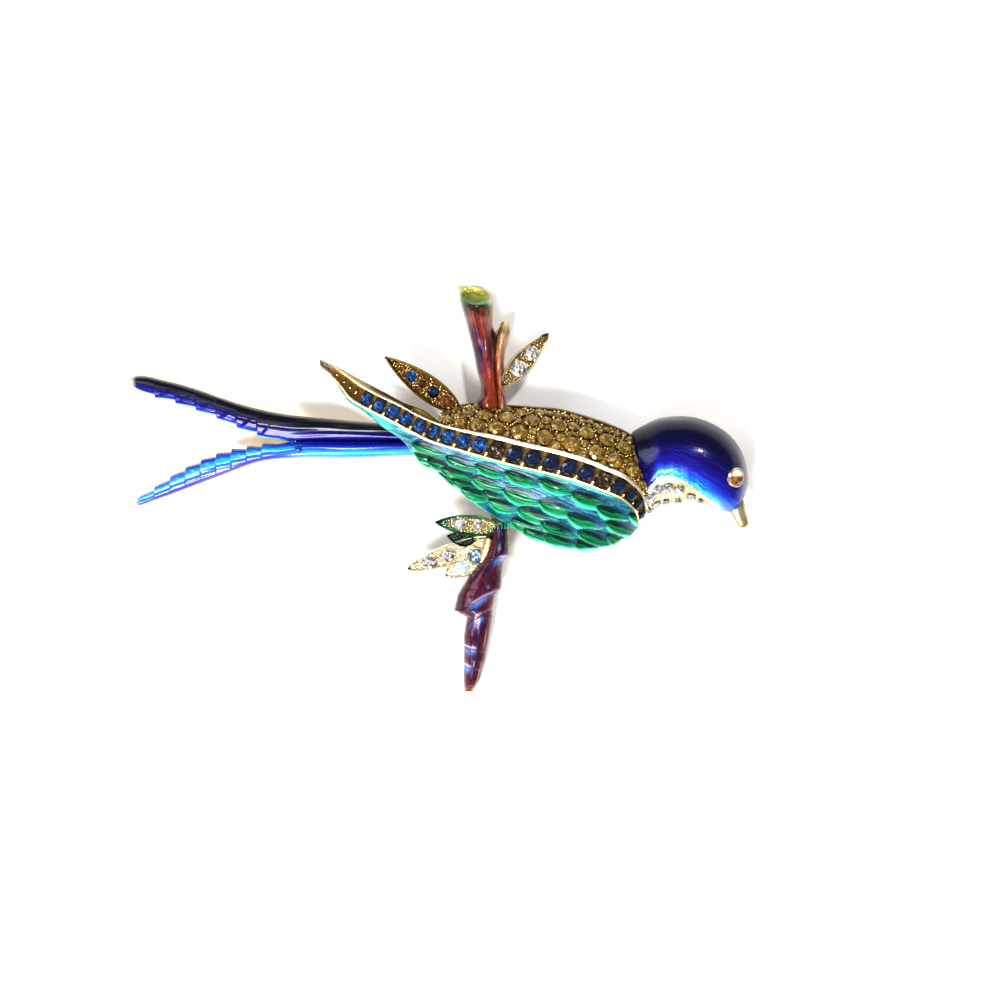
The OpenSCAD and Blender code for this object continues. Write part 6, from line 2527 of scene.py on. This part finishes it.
# The pin
@dataclass
class Pin:
    """The pin on the back: a rounded bar, a hinge barrel between two cheeks, the stem and its catch."""

    maker: Maker
    length: float = 24.0
    bar_w: float = 3.2
    bar_t: float = 0.8
    stem_d: float = 0.9
    under: float = 0.75
    leg: float = 1.6

    def bar(self, top: float) -> Shape:
        """The bar: a rounded oblong whose outline is a superellipse, |x/a|^8 + |y/b|^8 = 1.

        Args:
            top: height of its upper side.

        Returns:
            The bar.
        """
        half = np.array([self.length + self.bar_w, self.bar_w]) / 2
        low, soft = top - self.bar_t, 0.03 * half[1]
        levels = [(half * 0.02, top), (half, top), (half, low + 0.1), (half - soft, low), (half * 0.02, low)]
        return block(np.array([self.length / 2, 0]), 2 / 8, 96, levels)

    def plate(self, low: tuple[float, float, float], high: tuple[float, float, float]) -> Shape:
        """A small plate between two corners, with softened edges.

        Args:
            low: the lower corner.
            high: the upper corner.

        Returns:
            The plate.
        """
        a, b = np.array(low), np.array(high)
        half = (b - a)[:2] / 2
        heights = (a[2], a[2], a[2] + 0.06, b[2] - 0.06, b[2], b[2])
        levels = [(half * share, z) for share, z in zip((0.02, 0.9, 1.0, 1.0, 0.9, 0.02), heights)]
        return block((a + b)[:2] / 2, 0.3, 32, levels)

    def stem(self, z: float) -> Shape:
        """The stem, drawn out to a point past the catch.

        Args:
            z: height of its axis.

        Returns:
            The stem.
        """
        x = np.concatenate([np.linspace(-0.2, self.length, 40), self.length + np.linspace(0.1, 1.8, 14)])
        past, thick = (x - self.length) / 1.8, self.stem_d / 2
        radius = np.where(past < 0, thick, mix(thick, 0.06, past))
        return tube(np.column_stack([x, 0 * x, z + 0 * x]), radius, 28)

    def barrel(self, low: float, high: float, radius: float, z: float) -> Shape:
        """A part of the hinge barrel, r (1 - .05 |t|^6) from end to end."""
        y, t = np.linspace(low, high, 8), np.linspace(-1, 1, 8)
        return tube(np.column_stack([0 * y, y, z + 0 * y]), radius * (1 - 0.05 * np.abs(t) ** 6), 40)

    def hook(self, z: float) -> Shape:
        """The catch: a C-shaped strip round the stem's axis, open upwards at one side.

        Args:
            z: height of the stem's axis.

        Returns:
            The catch.
        """
        a = np.radians(np.linspace(-180, 90, 44))[:, None]
        x = np.broadcast_to(np.linspace(-self.leg / 2, self.leg / 2, 6) + self.length, (44, 6))
        soft = 1 - 0.06 * np.abs(np.linspace(-1, 1, 6)) ** 6
        radii = (z, (self.stem_d + 0.3) / 2)
        sides = [np.stack([x, np.cos(a) * r * soft, z + np.sin(a) * r * soft], -1) for r in radii]
        return slab(*sides)

    def build(self) -> None:
        """Makes the pin as one piece."""
        p = self.maker.plan
        z, top = self.stem_d / 2 + self.under, p.rim_z - p.fit
        middle, reach = top - self.bar_t / 2, self.leg / 2
        parts = [self.bar(top), self.stem(z)]
        parts += [self.barrel(*row, z) for row in ((-1.6, -0.75, z), (-0.7, 0.7, z * 0.93), (0.75, 1.6, z))]
        parts += [self.plate((-reach, y - 0.4, z), (reach, y + 0.4, middle)) for y in (-1.2, 1.2)]
        leg = self.plate((self.length - reach, -z, z), (self.length + reach, -z + 0.8, middle))
        pin = Shape.joined([*parts, self.hook(z), leg])
        pin.points[:, :2] += p.rail(np.array(8.6)) + np.array([0, -0.1 * p.wing_h])
        self.maker.put("pin", pin, STEEL, Slot.STEEL, ["pin_back"], 45)


# The studio
@dataclass
class Studio:
    """Floor, soft lights and the camera straight above."""

    middle: tuple[float, float] = (0.00777, -0.0014)
    width: float = 0.122
    lens: float = 100.0
    # place, size, power, colour
    lamps: tuple[tuple[tuple[float, float, float], float, float, Colour], ...] = (
        ((-0.11, -0.20, 0.30), 0.14, 2.2, (1.0, 0.98, 0.95)),
        ((0.14, 0.22, 0.40), 0.035, 1.0, (1.0, 0.99, 0.97)),
        ((-0.28, 0.14, 0.20), 0.16, 0.5, (0.95, 0.97, 1.0)),
    )

    def floor(self) -> None:
        """A flat pale floor with a faint paper grain."""
        n = 24
        u = np.linspace(-0.9, 0.9, n)
        grid = np.stack(np.meshgrid(u, u, indexing="ij") + [np.zeros((n, n))], -1).reshape(-1, 3)
        index = np.arange(n * n).reshape(n, n)
        quads = np.stack([index[:-1, :-1], index[1:, :-1], index[1:, 1:], index[:-1, 1:]], -1).reshape(-1, 4)
        mesh = bpy.data.meshes.new("floor")
        mesh.from_pydata(grid.tolist(), [], quads.tolist())
        b = Bench("pale_paper")
        grain = b.cloud(240.0, 4.0)
        colour = b.blend(grain * 0.2, (0.9, 0.9, 0.9), (0.84, 0.84, 0.83))
        mesh.materials.append(b.done(colour, grain * 0.1 + 0.8, grain, 0.02, {"Specular IOR Level": 0.2}))
        placed("floor", mesh)

    def lights(self) -> None:
        """Square soft lights turned to the brooch, and an even pale sky."""
        for k, (place, size, power, colour) in enumerate(self.lamps):
            lamp = bpy.data.lights.new(f"lamp_{k}", "AREA")
            lamp.size, lamp.energy, lamp.color = size, power, colour
            holder = placed(f"lamp_{k}", lamp)
            holder.location = place
            holder.rotation_euler = (-Vector(place)).to_track_quat("-Z", "Y").to_euler()
        world = bpy.data.worlds.new("sky")
        world.use_nodes = True
        sky = world.node_tree.nodes["Background"]
        sky.inputs[0].default_value = (0.97, 0.98, 1.0, 1.0)
        sky.inputs[1].default_value = 0.42
        bpy.context.scene.world = world
        bpy.context.scene.view_settings.view_transform = "Standard"
        bpy.context.scene.view_settings.look = "Medium High Contrast"

    def camera(self) -> None:
        """The camera looks straight down, the branch upwards in the picture."""
        data = bpy.data.cameras.new("camera")
        data.lens, data.sensor_width = self.lens, 36.0
        data.clip_start, data.clip_end = 0.01, 10.0
        camera = placed("camera", data)
        camera.location = (*self.middle, 0.004 + self.width * self.lens / 36.0)
        bpy.context.scene.camera = camera

    def build(self) -> None:
        """Sets up the whole studio."""
        self.floor()
        self.lights()
        self.camera()


def main() -> None:
    """Loads the frame, builds the brooch's pieces in order and sets up the studio."""
    logging.basicConfig(level=logging.INFO, format="%(name)s: %(message)s")
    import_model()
    maker = Maker(Plan())
    for assembly in (Wing, Back, Head, Tail, Stems, Leaves, Pin):
        assembly(maker).build()
    Studio().build()


if __name__ == "__main__":
    main()
